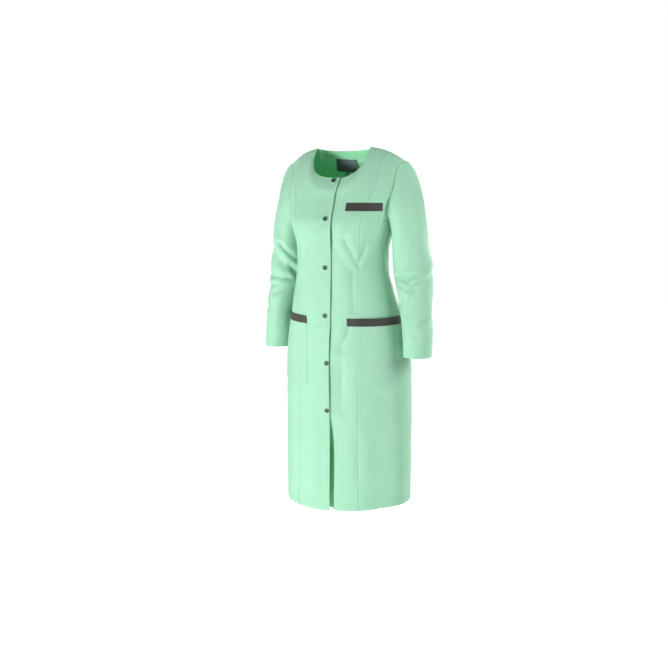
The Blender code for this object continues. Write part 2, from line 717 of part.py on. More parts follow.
# ---- snaps --------------------------------------------------------------------------------------
def snap(name, z):
    """A sprung press stud's cap: a turned disc with a raised rim round a dished face."""
    profile = (
        (0.0, 0.62), (0.62, 0.66), (0.78, 1.0), (0.92, 0.86), (1.0, 0.42), (0.94, 0.0), (0.0, 0.0),
    )
    mesh = bpy.data.meshes.new(name)
    points = [(share * SNAP_RADIUS, 0, height * SNAP_THICKNESS) for share, height in profile]
    mesh.from_pydata(points, [(k, k + 1) for k in range(len(points) - 1)], [])
    mesh.materials.append(cloth_material("snap_metal"))
    obj = bpy.data.objects.new(name, mesh)
    collection().objects.link(obj)
    screw = obj.modifiers.new("turned", "SCREW")
    screw.steps = screw.render_steps = 16
    screw.use_merge_vertices = True
    screw.merge_threshold = 0.0001
    screw.use_normal_calculate = True
    angle, level = (0.0, z - CHEST_RING_Z)
    if level > 0:
        level = level_of_front(z)
    normal = body_normal(angle, level)
    obj.location = body_point(angle, level) + normal * (SEAM_GAP * 1.5)
    obj.rotation_euler = normal.to_track_quat("Z", "Y").to_euler()


def level_of_front(z):
    low, high = 0.0, TOP
    for _ in range(30):
        middle = (low + high) / 2
        low, high = (middle, high) if form_point(0, middle).z < z else (low, middle)
    return low


def main():
    for obj in list(bpy.data.objects):
        bpy.data.objects.remove(obj, do_unlink=True)
    fronts = front_panels()
    back = back_panel()
    pockets(fronts)
    sleeve("sleeve_left", 1, LEFT_SLEEVE_FOLDS)
    sleeve("sleeve_right", -1, RIGHT_SLEEVE_FOLDS)
    facing(back)
    labels(back)
    for number, z in enumerate(SNAP_HEIGHTS, 1):
        snap(f"snap_{number}", z)


main()
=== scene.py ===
"""The looks of the long work coat: mint twill panels, dark bands, stitching, label and snaps.

Units are metres, in the frame of the solids: +X is the wearer's left, -Y the front and +Z up. The
file goes through the coat in the order in which it is sewn.
"""

from collections import namedtuple
from math import cos, pi, radians

import bpy
import numpy as np
from mathutils import Matrix, Vector


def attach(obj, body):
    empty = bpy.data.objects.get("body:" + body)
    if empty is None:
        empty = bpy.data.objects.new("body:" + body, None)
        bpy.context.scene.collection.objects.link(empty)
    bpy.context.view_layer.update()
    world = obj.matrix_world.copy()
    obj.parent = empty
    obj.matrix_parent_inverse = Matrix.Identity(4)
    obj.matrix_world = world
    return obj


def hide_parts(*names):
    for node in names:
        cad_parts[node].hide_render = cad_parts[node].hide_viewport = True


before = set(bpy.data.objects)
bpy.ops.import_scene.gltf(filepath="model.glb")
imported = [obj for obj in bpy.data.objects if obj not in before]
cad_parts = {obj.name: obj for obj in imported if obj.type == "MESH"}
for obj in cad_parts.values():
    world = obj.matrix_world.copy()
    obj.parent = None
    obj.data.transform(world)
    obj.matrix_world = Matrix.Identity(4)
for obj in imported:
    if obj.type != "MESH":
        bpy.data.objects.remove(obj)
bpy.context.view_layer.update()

bpy.ops.object.select_all(action="DESELECT")

# ==== Body panels ================================================================================
# Five panels of light twill, half cotton and half polyester, cut to a fitted form: two centre
# fronts, two side fronts and a back with two waist darts. The seams are pressed open or to one
# side, and the hem, the front edges and the neckline are turned in and stitched.

# A place on the form is an angle round the body (0 centre front, 90 left side, 180 centre back) and
# a level above the chest ring. Above level 0 each line runs up to the top edge, at level TOP.
COAT_LENGTH = 1.070
NECK_HALF_WIDTH = 0.0875
NECK_FRONT = (-0.066, -0.088)   # y and z at centre front
NECK_BACK = (0.046, -0.008)
NECK_SQUARENESS = 0.045         # fills out the corners of the front neckline
SHOULDER = np.array((0.188, 0.022, -0.042))
SHOULDER_ROUND = 0.0085         # the seam's rise over a straight line, midway
CHEST_RING_Z, UNDERARM_Z = -0.150, -0.213
TOP = 0.112
NECK_ANGLE = 36.0               # angle of the neck point on the top edge
# How the form's lines run as they reach the top edge, in y and z. Those at the neck and shoulder
# points are for the front, and their y is turned round for the back.
WAY_AT_NECK, WAY_AT_SHOULDER = (0.034, 0.020), (0.016, 0.012)
WAY_AT_FRONT, WAY_AT_BACK = (0.030, 0.042), (-0.016, 0.055)
CLIMB_SHARE, CLIMB_LEAST = 0.42, 0.018          # how long they first keep the slope below them
HEM, UNDERARM = -COAT_LENGTH - CHEST_RING_Z, UNDERARM_Z - CHEST_RING_Z

BodyRing = namedtuple("BodyRing", "z half_width front side back squareness")
BODY_RINGS = (
    #        z       half_width  front    side    back   squareness
    BodyRing(-COAT_LENGTH, 0.2080, -0.1160, 0.0430, 0.1590, 0.000),
    BodyRing(-0.920, 0.2090, -0.1145, 0.0440, 0.1620, 0.000),
    BodyRing(-0.760, 0.2070, -0.1125, 0.0440, 0.1640, 0.000),
    BodyRing(-0.600, 0.1965, -0.1125, 0.0390, 0.1600, 0.004),
    BodyRing(-0.500, 0.1760, -0.1165, 0.0270, 0.1380, 0.006),
    BodyRing(-0.446, 0.1625, -0.1170, 0.0110, 0.1200, 0.010),
    BodyRing(-0.400, 0.1485, -0.1160, 0.0030, 0.1070, 0.018),
    BodyRing(-0.355, 0.1390, -0.1150, -0.0040, 0.1005, 0.022),
    BodyRing(-0.315, 0.1358, -0.1150, -0.0030, 0.1015, 0.026),
    BodyRing(-0.270, 0.1385, -0.1160, 0.0000, 0.1080, 0.032),
    BodyRing(-0.213, 0.1560, -0.1150, 0.0040, 0.1130, 0.035),
    BodyRing(-0.150, 0.1720, -0.0950, 0.0120, 0.1070, 0.035),
)
HEM_TILT_LEFT, HEM_TILT_RIGHT, TILT_FROM = 0.019, 0.013, -0.600
BUST_ANGLE, BUST_SPREAD, BUST_Z, BUST_HEIGHT, BUST_RISE = 37.0, 20.0, -0.225, 0.055, 0.008

# Troughs in the cloth, or ridges where the depth is negative, from one place to another.
Fold = namedtuple("Fold", "angle z to_angle to_z width depth")
BODY_FOLDS = (
    #    angle    z      to_angle  to_z   width   depth
    Fold(12.0, -0.640, 15.0, -1.080, 0.022, 0.0050),
    Fold(44.0, -0.760, 50.0, -1.090, 0.034, 0.0045),
    Fold(68.0, -0.800, 72.0, -1.090, 0.030, -0.0040),
    Fold(100.0, -0.700, 104.0, -1.090, 0.036, 0.0055),
    Fold(140.0, -0.740, 142.0, -1.090, 0.038, 0.0060),
    Fold(176.0, -0.780, 172.0, -1.090, 0.036, -0.0050),
    Fold(-148.0, -0.700, -150.0, -1.090, 0.038, 0.0060),
    Fold(-104.0, -0.760, -102.0, -1.090, 0.036, 0.0050),
    Fold(-58.0, -0.780, -62.0, -1.090, 0.032, 0.0035),
    Fold(14.0, -0.290, 33.0, -0.350, 0.016, 0.0035),
    Fold(52.0, -0.270, 36.0, -0.345, 0.016, 0.0030),
    Fold(128.0, -0.340, 172.0, -0.365, 0.016, 0.0040),
    Fold(-128.0, -0.330, -168.0, -0.350, 0.016, 0.0040),
)
# Creases, which are narrower than the folds and have a soft ridge on each side.
BODY_CREASES = (
    #    angle    z      to_angle  to_z   width   depth
    Fold(23.0, -0.262, 40.0, -0.334, 0.0100, 0.0043),
    Fold(50.0, -0.285, 41.0, -0.334, 0.0090, 0.0032),
    Fold(33.0, -0.345, 30.0, -0.462, 0.0100, 0.0035),
    Fold(25.0, -0.502, 14.0, -0.574, 0.0130, 0.0049),
    Fold(14.0, -0.574, 13.0, -0.760, 0.0150, 0.0045),
    Fold(38.0, -0.690, 62.0, -0.745, 0.0240, 0.0028),
    Fold(27.0, -0.840, 28.0, -1.000, 0.0120, 0.0028),
    Fold(-5.0, -0.660, -4.0, -1.040, 0.0150, 0.0020),
    Fold(54.0, -0.325, 80.0, -0.356, 0.0170, 0.0016),
    Fold(60.0, -0.368, 88.0, -0.392, 0.0170, 0.0014),
    Fold(2.0, -0.208, -11.0, -0.236, 0.0060, 0.0013),
    Fold(1.0, -0.338, -13.0, -0.322, 0.0060, 0.0013),
    Fold(1.0, -0.346, -12.0, -0.372, 0.0065, 0.0012),
    Fold(2.0, -0.484, -10.0, -0.512, 0.0070, 0.0012),
    Fold(3.0, -0.625, -9.0, -0.655, 0.0070, 0.0012),
    Fold(4.0, -0.766, -7.0, -0.800, 0.0080, 0.0013),
    Fold(-16.0, -0.262, -34.0, -0.322, 0.0110, 0.0020),
    Fold(-44.0, -0.285, -37.0, -0.330, 0.0100, 0.0016),
    Fold(-20.0, -0.500, -32.0, -0.560, 0.0140, 0.0020),
    Fold(-27.0, -0.365, -24.0, -0.455, 0.0110, 0.0014),
    Fold(66.0, -0.150, 72.0, -0.235, 0.0120, 0.0053),
    Fold(-62.0, -0.330, -84.0, -0.350, 0.0110, 0.0041),
    Fold(-66.0, -0.160, -74.0, -0.235, 0.0120, 0.0045),
    Fold(112.0, -0.372, 146.0, -0.390, 0.0130, 0.0030),
    Fold(-110.0, -0.360, -148.0, -0.380, 0.0130, 0.0032),
    Fold(104.0, -0.255, 122.0, -0.318, 0.0130, 0.0045),
    Fold(-103.0, -0.248, -120.0, -0.310, 0.0130, 0.0045),
    Fold(120.0, -0.120, 138.0, -0.190, 0.0180, 0.0041),
    Fold(-122.0, -0.115, -136.0, -0.195, 0.0180, 0.0041),
    Fold(150.0, -0.560, 158.0, -0.760, 0.0200, 0.0045),
    Fold(-162.0, -0.540, -158.0, -0.700, 0.0200, 0.0041),
)
BODY_RADIUS = 0.150             # turns an angle round the body into a distance along the cloth
FOLD_EVENNESS = 0.35            # the share of a fold's depth that doesn't fade towards its ends
FADE_FROM, FADE_SPAN = 0.15, 0.7                # the stretch of a half wave that the rest follows
CREASE_SHARPNESS, CREASE_ROUNDING, CREASE_PEAK = 1.7, 0.03, 0.17
RIDGE_SHARE, RIDGE_PLACE = 0.45, 1.9            # of a crease's depth, and in its widths

SeamLine = namedtuple("SeamLine", "z across")
FRONT_SEAM = (
    SeamLine(-COAT_LENGTH, 0.1030), SeamLine(-0.740, 0.0970), SeamLine(-0.500, 0.0960),
    SeamLine(-0.355, 0.0960), SeamLine(-0.225, 0.1060), SeamLine(-0.150, 0.1170),
)
FRONT_SEAM_TOP_ANGLE, FRONT_SEAM_BEND = 64.8, 1.1
LAPS = (                        # how far each front reaches past centre front
    SeamLine(-COAT_LENGTH, 0.0140), SeamLine(-0.900, 0.0140),
    SeamLine(-0.760, 0.0120), SeamLine(-0.620, 0.0110),
    SeamLine(-0.480, 0.0170), SeamLine(-0.088, 0.0180),
)
# The under front lies deeper by the first of each pair and rises back over the second, measured
# from centre front. Below the last snap it swings in.
LAP_SINK, LAP_RAMP = 0.0042, (0.020, 0.050)
HEM_SINK, HEM_SINK_FROM, HEM_SINK_TO = 0.026, -0.775, -0.900
HEM_SINK_RAMP = (0.006, 0.034)
EdgeLift = namedtuple("EdgeLift", "z half_height lift")
EDGE_LIFTS = (                  # the free front edge stands off between and below the snaps
    EdgeLift(-0.255, 0.034, 0.0042), EdgeLift(-0.140, 0.030, 0.0014),
    EdgeLift(-0.415, 0.036, 0.0020), EdgeLift(-0.552, 0.040, 0.0028),
    EdgeLift(-0.690, 0.045, 0.0030), EdgeLift(-0.960, 0.130, 0.0030),
)
EDGE_LIFT_REACH = 0.016
ARMHOLE_FRONT_CUT, ARMHOLE_BACK_CUT = 23.0, 16.0                # in degrees, at their deepest
BACK_DARTS = (0.29, 0.71)       # as shares of the back's width
DART_FOOT, DART_HEAD = (-0.490, -0.440), (-0.270, -0.225)      # heights over which a dart ends

GRID, TOP_GRID = 0.0042, 0.0031                 # between grid lines, and levels over the ring
FINE_STEPS = (-0.0030, -0.0016, -0.0007, 0, 0.0007, 0.0016, 0.0030)
LEAST_STEP = 0.0005
EDGE_ZONE = 0.012               # grid lines keep their distance from an edge within this
CLOTH_THICKNESS = 0.0006
TURNED_THICKNESS = 0.0013       # where the cloth is turned in at a hem or a facing
HEM_HEIGHT, NECK_STITCH, FRONT_STITCH = 0.022, 0.007, 0.007
FRONT_FACING, NECK_FACING = (0.055, 0.057), (0.038, 0.041)      # turned in, and where that ends
SEAM_ALLOWANCE, ALLOWANCE_RISE = (0.008, 0.0105), 0.0003        # pressed under a panel's edge
TURN_IN_EDGE = 0.002            # over which a turned hem's thickness ends
NECK_CORNER = 1.5               # in degrees, over which the neckline's finish gives way to the seam
NECK_STITCH_LEVEL = 0.0052      # of the neckline's stitches, below the top edge
SHOULDER_BLEND = 0.006          # of levels, over which front and back take up their shared slope
TURN_STEP, LEVEL_STEP = 0.3, 0.0005             # short steps that give the surface's slope
SEAM_ROLL, SEAM_ROLL_REACH = 0.0013, 0.0016
SEAM_AT_TOP = 0.28              # share of that roll left at the top edge, where the seams lie flat
DART_ROLL = 1.2                 # of a seam's
FOLD_ROLL, FOLD_ROLL_REACH = 0.0006, 0.0007
STITCH_GROOVE, STITCH_GROOVE_REACH = 0.0003, 0.0011
PUCKER, PUCKER_REACH, PUCKER_LENGTH, PUCKER_DRIFT = 0.00010, 0.004, 0.0022, 0.017


def smooth_step(low, high, value):
    share = np.clip((value - low) / (high - low), 0, 1)
    return share * share * (3 - 2 * share)


def mix(a, b, share):
    return a + (b - a) * share


def from_table(rows, name, z):
    """The values of a column at the heights z, on a smooth curve through the table's rows."""
    z = np.asarray(z, float)
    heights = np.array([row.z for row in rows])
    values = np.array([getattr(row, name) for row in rows])
    last = len(rows) - 1
    low = np.maximum(np.arange(last + 1) - 1, 0)
    high = np.minimum(np.arange(last + 1) + 1, last)
    slopes = (values[high] - values[low]) / (heights[high] - heights[low])
    k = np.clip(np.searchsorted(heights, z, side="right") - 1, 0, last - 1)
    span = heights[k + 1] - heights[k]
    t = np.clip((z - heights[k]) / span, 0, 1)
    smooth = (
        values[k] * (2 * t**3 - 3 * t**2 + 1)
        + slopes[k] * span * (t**3 - 2 * t**2 + t)
        + values[k + 1] * (3 * t**2 - 2 * t**3)
        + slopes[k + 1] * span * (t**3 - t**2)
    )
    return smooth + slopes[-1] * np.maximum(0, z - heights[-1])


def fold_depth(folds, angle, z, radius, creased=False):
    """How deep the folds press the cloth in. A crease is sharp, with a soft ridge beside it.

    The angle is in degrees, and radius turns it into a distance along the cloth.
    """
    depth = np.zeros(np.broadcast(angle, z).shape)
    for fold in folds:
        along, up = radians(fold.to_angle - fold.angle) * radius, fold.to_z - fold.z
        across = np.radians(half_turn(angle - fold.angle)) * radius
        above = z - fold.z
        nearest = np.clip((across * along + above * up) / (along * along + up * up), 0, 1)
        away = np.hypot(across - along * nearest, above - up * nearest) / fold.width
        fade = np.sin(pi * np.clip(FADE_FROM + FADE_SPAN * nearest, 0, 1))
        ease = FOLD_EVENNESS + (1 - FOLD_EVENNESS) * fade
        if creased:
            rounded = np.sqrt(away**2 + CREASE_ROUNDING)
            trough = np.exp(-CREASE_SHARPNESS * (rounded - CREASE_PEAK))
            ridge = RIDGE_SHARE * np.exp(-((away - RIDGE_PLACE) ** 2))
            depth += fold.depth * ease * (trough - ridge)
        else:
            depth += fold.depth * ease * np.exp(-(away**2))
    return depth


def vectors(x, y, z):
    return np.stack(np.broadcast_arrays(x, y, z), axis=-1).astype(float)


def unit(v):
    return v / np.maximum(np.linalg.norm(v, axis=-1, keepdims=True), 1e-12)


def half_turn(angle):
    """The same angle, from -180 to 180."""
    return (angle + 180) % 360 - 180


def bent_line(start, leave, arrive, end, share):
    """A smooth line from start to end that sets out towards leave and comes in from arrive."""
    return (
        start * (1 - share) ** 3
        + leave * (3 * share * (1 - share) ** 2)
        + arrive * (3 * share**2 * (1 - share))
        + end * share**3
    )


def ring_point(angle, z):
    """The flat ring of the form at height z, before the folds."""
    a = np.radians(angle)
    square = from_table(BODY_RINGS, "squareness", z)
    across = (np.sin(a) + square * np.sin(3 * a)) / (1 - square)
    ahead = (np.cos(a) - square * np.cos(3 * a)) / (1 - square)
    side = from_table(BODY_RINGS, "side", z)
    front, back = from_table(BODY_RINGS, "front", z), from_table(BODY_RINGS, "back", z)
    reach = np.where(ahead > 0, front, back) - side
    turn = np.abs(half_turn(angle))
    bust = BUST_RISE * np.exp(
        -(((turn - BUST_ANGLE) / BUST_SPREAD) ** 2) - ((z - BUST_Z) / BUST_HEIGHT) ** 2
    )
    tilt = np.where(np.sin(a) > 0, HEM_TILT_LEFT, HEM_TILT_RIGHT) * np.sin(a)
    tilt = tilt * smooth_step(-TILT_FROM, COAT_LENGTH, -z)
    return vectors(
        from_table(BODY_RINGS, "half_width", z) * across + bust * np.sin(a),
        side + reach * np.abs(ahead) - bust * np.cos(a),
        z + tilt,
    )


def top_edge(angle):
    """The neckline and the shoulder seam, and the way a line of the form reaches them."""
    turn = half_turn(angle)
    mirror = np.where(turn >= 0, 1.0, -1.0)
    is_front = np.abs(turn) <= 90
    forward = np.where(is_front, 1.0, -1.0)
    from_centre = np.where(is_front, np.abs(turn), 180 - np.abs(turn))
    neck_y = np.where(is_front, NECK_FRONT[0], NECK_BACK[0])
    neck_z = np.where(is_front, NECK_FRONT[1], NECK_BACK[1])
    a = np.radians(90 * np.clip(from_centre / NECK_ANGLE, 0, 1))
    square = np.where(is_front, NECK_SQUARENESS, 0.0)
    across = (np.sin(a) + square * np.sin(3 * a)) / (1 - square)
    ahead = np.maximum(np.cos(a) - square * np.cos(3 * a), 0) / (1 - square)
    neck = vectors(NECK_HALF_WIDTH * across, neck_y * ahead, neck_z * ahead)
    neck_way = vectors(0, WAY_AT_NECK[0] * forward, WAY_AT_NECK[1])
    centre_way = vectors(
        0, np.where(is_front, WAY_AT_FRONT[0], WAY_AT_BACK[0]),
        np.where(is_front, WAY_AT_FRONT[1], WAY_AT_BACK[1]),
    )
    round_neck = mix(centre_way, neck_way, smooth_step(0, NECK_ANGLE, from_centre)[..., None])
    share = np.clip((from_centre - NECK_ANGLE) / (90 - NECK_ANGLE), 0, 1)[..., None]
    seam = mix(np.array((NECK_HALF_WIDTH, 0, 0)), SHOULDER, share)
    seam[..., 2] += SHOULDER_ROUND * np.sin(pi * share[..., 0])
    shoulder_way = vectors(0, WAY_AT_SHOULDER[0] * forward, WAY_AT_SHOULDER[1])
    along_seam = mix(neck_way, shoulder_way, share)
    in_neck = (from_centre < NECK_ANGLE)[..., None]
    point = np.where(in_neck, neck, seam)
    point[..., 0] *= mirror
    return point, np.where(in_neck, round_neck, along_seam)


def form_point(angle, level):
    """The form before its folds: rings below the chest, and lines that run up from there."""
    angle, level = np.broadcast_arrays(np.asarray(angle, float), np.asarray(level, float))
    low_part = ring_point(angle, CHEST_RING_Z + np.minimum(level, 0))
    share = np.clip(level / TOP, 0, 1)[..., None]
    start = ring_point(angle, np.full(angle.shape, CHEST_RING_Z))
    rise = unit(start - ring_point(angle, np.full(angle.shape, CHEST_RING_Z - 0.004)))
    end, way = top_edge(angle)
    reach = np.linalg.norm(end - start, axis=-1, keepdims=True)
    climb = np.maximum(CLIMB_LEAST, reach * CLIMB_SHARE)
    high_part = bent_line(start, start + rise * climb, end - way, end, share)
    return np.where((level <= 0)[..., None], low_part, high_part)


def body_point(angle, level):
    """The coat's outer surface, with its folds and creases."""
    z = CHEST_RING_Z + level
    depth = fold_depth(BODY_FOLDS, angle, z, BODY_RADIUS)
    depth = depth + fold_depth(BODY_CREASES, angle, z, BODY_RADIUS, True)
    a = np.radians(angle)
    return form_point(angle, level) - vectors(np.sin(a), -np.cos(a), 0) * depth[..., None]


def body_normal(angle, level):
    """The way out of the surface. Along the shoulder seam the front and the back share it."""
    inside = np.minimum(level, TOP - 1e-4)
    around = body_point(angle + TURN_STEP, inside) - body_point(angle - TURN_STEP, inside)
    upward = body_point(angle, inside) - body_point(angle, inside - LEVEL_STEP)
    normal = unit(np.cross(around, upward))
    seam = SHOULDER - np.array((NECK_HALF_WIDTH, 0, 0))
    out = unit(np.cross(seam, np.array((0, 1.0, 0))))
    shared = vectors(out[0] * np.where(angle % 360 < 180, 1.0, -1.0), out[1], abs(out[2]))
    turn = np.abs(half_turn(angle))
    on_seam = (turn > NECK_ANGLE - 0.01) & (turn < 180 - NECK_ANGLE + 0.01)
    share = np.where(on_seam, smooth_step(TOP - SHOULDER_BLEND, TOP, level), 0.0)[..., None]
    return unit(mix(normal, shared, share))


def angle_across(across, z):
    """The angle at which the ring at height z is that far to the left of centre front."""
    half = from_table(BODY_RINGS, "half_width", z)
    guess = np.degrees(np.arcsin(np.clip(across / half, -1, 1)))
    for _ in range(6):
        slope = ring_point(guess + 0.5, z)[..., 0] - ring_point(guess - 0.5, z)[..., 0]
        guess = guess - (ring_point(guess, z)[..., 0] - across) / slope
    return guess


def front_seam_angle(level):
    z = CHEST_RING_Z + np.minimum(level, 0)
    low = angle_across(from_table(FRONT_SEAM, "across", z), z)
    return mix(low, FRONT_SEAM_TOP_ANGLE, np.clip(level / TOP, 0, 1) ** FRONT_SEAM_BEND)


def lap_angle(level):
    z = CHEST_RING_Z + np.minimum(level, 0)
    low = angle_across(from_table(LAPS, "across", z), z)
    top = NECK_ANGLE / 90 * np.degrees(np.arcsin(LAPS[-1].across / NECK_HALF_WIDTH))
    return mix(low, top, np.clip(level / TOP, 0, 1))


def armhole_angle(level, cut):
    """How far an armhole cuts into its panel: most a third of the way up, where 2.7 gives cut."""
    share = np.clip((level - UNDERARM) / (TOP - UNDERARM), 0, 1)
    return cut * 2.7 * np.sqrt(share) * (1 - share) ** 1.1


def lap_sink(angle, level):
    """The left front goes under the right one: how far it lies inside the form."""
    z = CHEST_RING_Z + np.minimum(level, 0)
    across = ring_point(angle, z)[..., 0]
    fall = smooth_step(-HEM_SINK_FROM, -HEM_SINK_TO, -z)
    sink = LAP_SINK * (1 - smooth_step(*LAP_RAMP, across))
    return sink + HEM_SINK * fall * (1 - smooth_step(*HEM_SINK_RAMP, across))


def spaced(length, step, fine):
    """Distances from 0 to length, a step apart and closer together at the fine places."""
    places = list(np.linspace(0, length, max(2, round(length / step) + 1)))
    for place in fine:
        places += [place + d for d in FINE_STEPS]
    kept = [0.0]
    for place in sorted(p for p in places if 0 < p < length - LEAST_STEP):
        if place - kept[-1] > LEAST_STEP:
            kept.append(place)
    return np.array(kept + [length])


def grid_lines(left, right, levels, fine, darts=()):
    """Angles of a panel's grid. Lines near an edge keep their distance from it in every row."""
    width = np.zeros(len(levels))
    samples = [body_point(mix(left, right, s), levels) for s in np.linspace(0, 1, 25)]
    for a, b in zip(samples, samples[1:]):
        width += np.linalg.norm(b - a, axis=-1)
    nominal = float(np.mean(width))
    shares = []
    fine_places = [nominal if f == "end" else f for f in fine] + [nominal * d for d in darts]
    for place in spaced(nominal, GRID, fine_places):
        if place <= EDGE_ZONE:
            shares.append(place / width)
        elif nominal - place <= EDGE_ZONE:
            shares.append(1 - (nominal - place) / width)
        else:
            middle = (place - EDGE_ZONE) / (nominal - 2 * EDGE_ZONE)
            shares.append(mix(EDGE_ZONE / width, 1 - EDGE_ZONE / width, middle))
    shares = np.stack(shares, axis=1)
    return mix(left[:, None], right[:, None], shares)


def distance_along(points, axis):
    """How far each point of a grid lies from the first one of its line, along the cloth."""
    steps = np.linalg.norm(np.diff(points, axis=axis), axis=-1)
    total = np.cumsum(steps, axis=axis)
    start = np.zeros_like(np.take(total, [0], axis=axis))
    return np.concatenate([start, total], axis=axis)


def surface(angles, levels, sink=None):
    """A grid on the form, with its ways out and its levels. sink says how far inside it lies."""
    level_grid = np.broadcast_to(levels[:, None], angles.shape)
    points, normals = body_point(angles, level_grid), body_normal(angles, level_grid)
    if sink:
        points = points - normals * sink(angles, level_grid)[..., None]
    return points, normals, level_grid


def from_edges(points):
    """How far each point of a grid lies from its first and last columns and rows."""
    across, along = distance_along(points, 1), distance_along(points, 0)
    return across, across[:, -1:] - across, along, along[-1:] - along


def new_object(name, data):
    obj = bpy.data.objects.new(name, data)
    bpy.context.scene.collection.objects.link(obj)
    return obj


def cloth_mesh(name, outer, inner, across, along, turned, is_reversed=False, closed=False):
    """A thin closed wall of cloth between two grids of points, with its cut's own coordinates.

    is_reversed takes the columns from the last one, so that the faces point outwards.
    """
    if is_reversed:
        outer, inner, across, along, turned = (
            grid[:, ::-1] for grid in (outer, inner, across, along, turned)
        )
    rows, columns = outer.shape[:2]
    size = rows * columns
    index = np.arange(size).reshape(rows, columns)
    if closed:
        index = np.concatenate([index, index[:, :1]], axis=1)
    a, b, c, d = index[:-1, :-1], index[:-1, 1:], index[1:, 1:], index[1:, :-1]
    outside = np.stack([a, b, c, d], axis=-1).reshape(-1, 4)
    inside = outside[:, ::-1] + size
    rims = [(index[0], False), (index[-1], True)]
    if not closed:
        rims += [(index[:, 0], True), (index[:, -1], False)]
    strips = []
    for line, is_flipped in rims:
        strip = np.stack([line[:-1], line[:-1] + size, line[1:] + size, line[1:]], axis=-1)
        strips.append(strip[:, ::-1] if is_flipped else strip)
    faces = np.concatenate([outside, inside] + strips)
    points = np.concatenate([outer.reshape(-1, 3), inner.reshape(-1, 3)])
    mesh = bpy.data.meshes.new(name)
    mesh.from_pydata(points.tolist(), [], faces.tolist())
    cut = np.stack([across.ravel(), along.ravel()], axis=-1)
    cut = np.concatenate([cut, cut])
    corners = np.zeros(len(mesh.loops), np.int32)
    mesh.loops.foreach_get("vertex_index", corners)
    layer = mesh.uv_layers.new(name="cut")
    layer.data.foreach_set("uv", cut[corners].astype(np.float32).ravel())
    share_turned = mesh.attributes.new("turned", "FLOAT", "POINT")
    share_turned.data.foreach_set("value", np.tile(turned.ravel(), 2).astype(np.float32))
    mesh.shade_smooth()
    mesh.set_sharp_from_angle(angle=radians(50))
    mesh.validate()
    return new_object(name, mesh)


def seam_dip(distance):
    """A sewn edge rolls down into its seam."""
    return -SEAM_ROLL * np.exp(-distance / SEAM_ROLL_REACH)


def folded_edge(distance):
    """A turned-in edge is round."""
    return -FOLD_ROLL * np.exp(-distance / FOLD_ROLL_REACH)


def allowance_rise(distance):
    """Seam allowances that are pressed under a panel hold its edge a little higher."""
    return ALLOWANCE_RISE * (1 - smooth_step(*SEAM_ALLOWANCE, distance))


def stitch_groove(distance, place, along):
    """Thread pulls the cloth down along its line, and puckers it a little on both sides."""
    away = np.abs(distance - place)
    wave = np.sin(along / PUCKER_LENGTH + 2.5 * np.sin(along / PUCKER_DRIFT))
    groove = STITCH_GROOVE * np.exp(-((away / STITCH_GROOVE_REACH) ** 2))
    return PUCKER * wave * np.exp(-away / PUCKER_REACH) - groove


Sheet = namedtuple("Sheet", "outer normals across along")
SHEETS = {}                     # the grids of the cloth pieces, for the stitches on them
NECKLINES = {}                  # which columns of a panel end in the neckline


def share_in_neck(angles):
    """1 where the top edge is the neckline and 0 where it is the shoulder seam."""
    turn = np.abs(half_turn(angles))
    return 1 - smooth_step(NECK_ANGLE - NECK_CORNER, NECK_ANGLE, np.minimum(turn, 180 - turn))


def panel(name, left, right, free_left=False, sink=None, under_left=0, under_right=0, darts=()):
    """A body panel from hem to top edge. left and right give the angle of its edges by level.

    free_left marks a front edge, sink a front that lies under the other, under_left and
    under_right an edge with seam allowances pressed under it, and darts their places across.
    """
    low = spaced(-HEM, GRID, (0, HEM_HEIGHT)) + HEM
    high = spaced(TOP, TOP_GRID, (TOP, TOP - NECK_STITCH_LEVEL))
    levels = np.concatenate([low[:-1], high])
    fine = (0, "end") + ((FRONT_STITCH,) if free_left else ())
    angles = grid_lines(left(levels), right(levels), levels, fine, darts)
    points, normals, level_grid = surface(angles, levels, sink)
    across, from_right, along, from_top = from_edges(points)
    in_neck = share_in_neck(angles)
    relief = folded_edge(along) + stitch_groove(along, HEM_HEIGHT, across)
    relief += mix(seam_dip(from_top), folded_edge(from_top), in_neck)
    relief += stitch_groove(from_top, NECK_STITCH, across) * in_neck
    turned = 1 - smooth_step(HEM_HEIGHT, HEM_HEIGHT + TURN_IN_EDGE, along)
    turned = np.maximum(turned, (1 - smooth_step(*NECK_FACING, from_top)) * in_neck)
    height = CHEST_RING_Z + level_grid
    seam_share = mix(1.0, SEAM_AT_TOP, smooth_step(0, TOP, level_grid))
    if free_left:
        if not sink:
            for bump in EDGE_LIFTS:
                swell = np.exp(-(((height - bump.z) / bump.half_height) ** 2))
                relief += bump.lift * swell * np.exp(-across / EDGE_LIFT_REACH)
        relief += folded_edge(across) + stitch_groove(across, FRONT_STITCH, along)
        turned = np.maximum(turned, 1 - smooth_step(*FRONT_FACING, across))
    else:
        relief += seam_dip(across) * seam_share + under_left * allowance_rise(across)
    relief += seam_dip(from_right) * seam_share + under_right * allowance_rise(from_right)
    shares = np.mean(across / across[:, -1:], axis=0)
    for dart in darts:
        column = int(np.argmin(np.abs(shares - dart)))
        sewn = smooth_step(*DART_FOOT, height) * (1 - smooth_step(*DART_HEAD, height))
        from_dart = np.abs(across - across[:, column : column + 1])
        relief += DART_ROLL * seam_dip(from_dart) * sewn
    outer = points + normals * relief[..., None]
    depth = mix(CLOTH_THICKNESS, TURNED_THICKNESS, turned)
    inner = outer - normals * depth[..., None]
    SHEETS[name] = Sheet(outer, normals, across, along)
    NECKLINES[name] = in_neck[-1] > 0.9
    return cloth_mesh(
        name, outer, inner, across, along, turned, is_reversed=angles[0, 0] > angles[0, -1]
    )


def on_side(side, angle):
    """An edge's angle by level, on the wearer's left (1) or right (-1)."""
    return lambda level: side * angle(level)


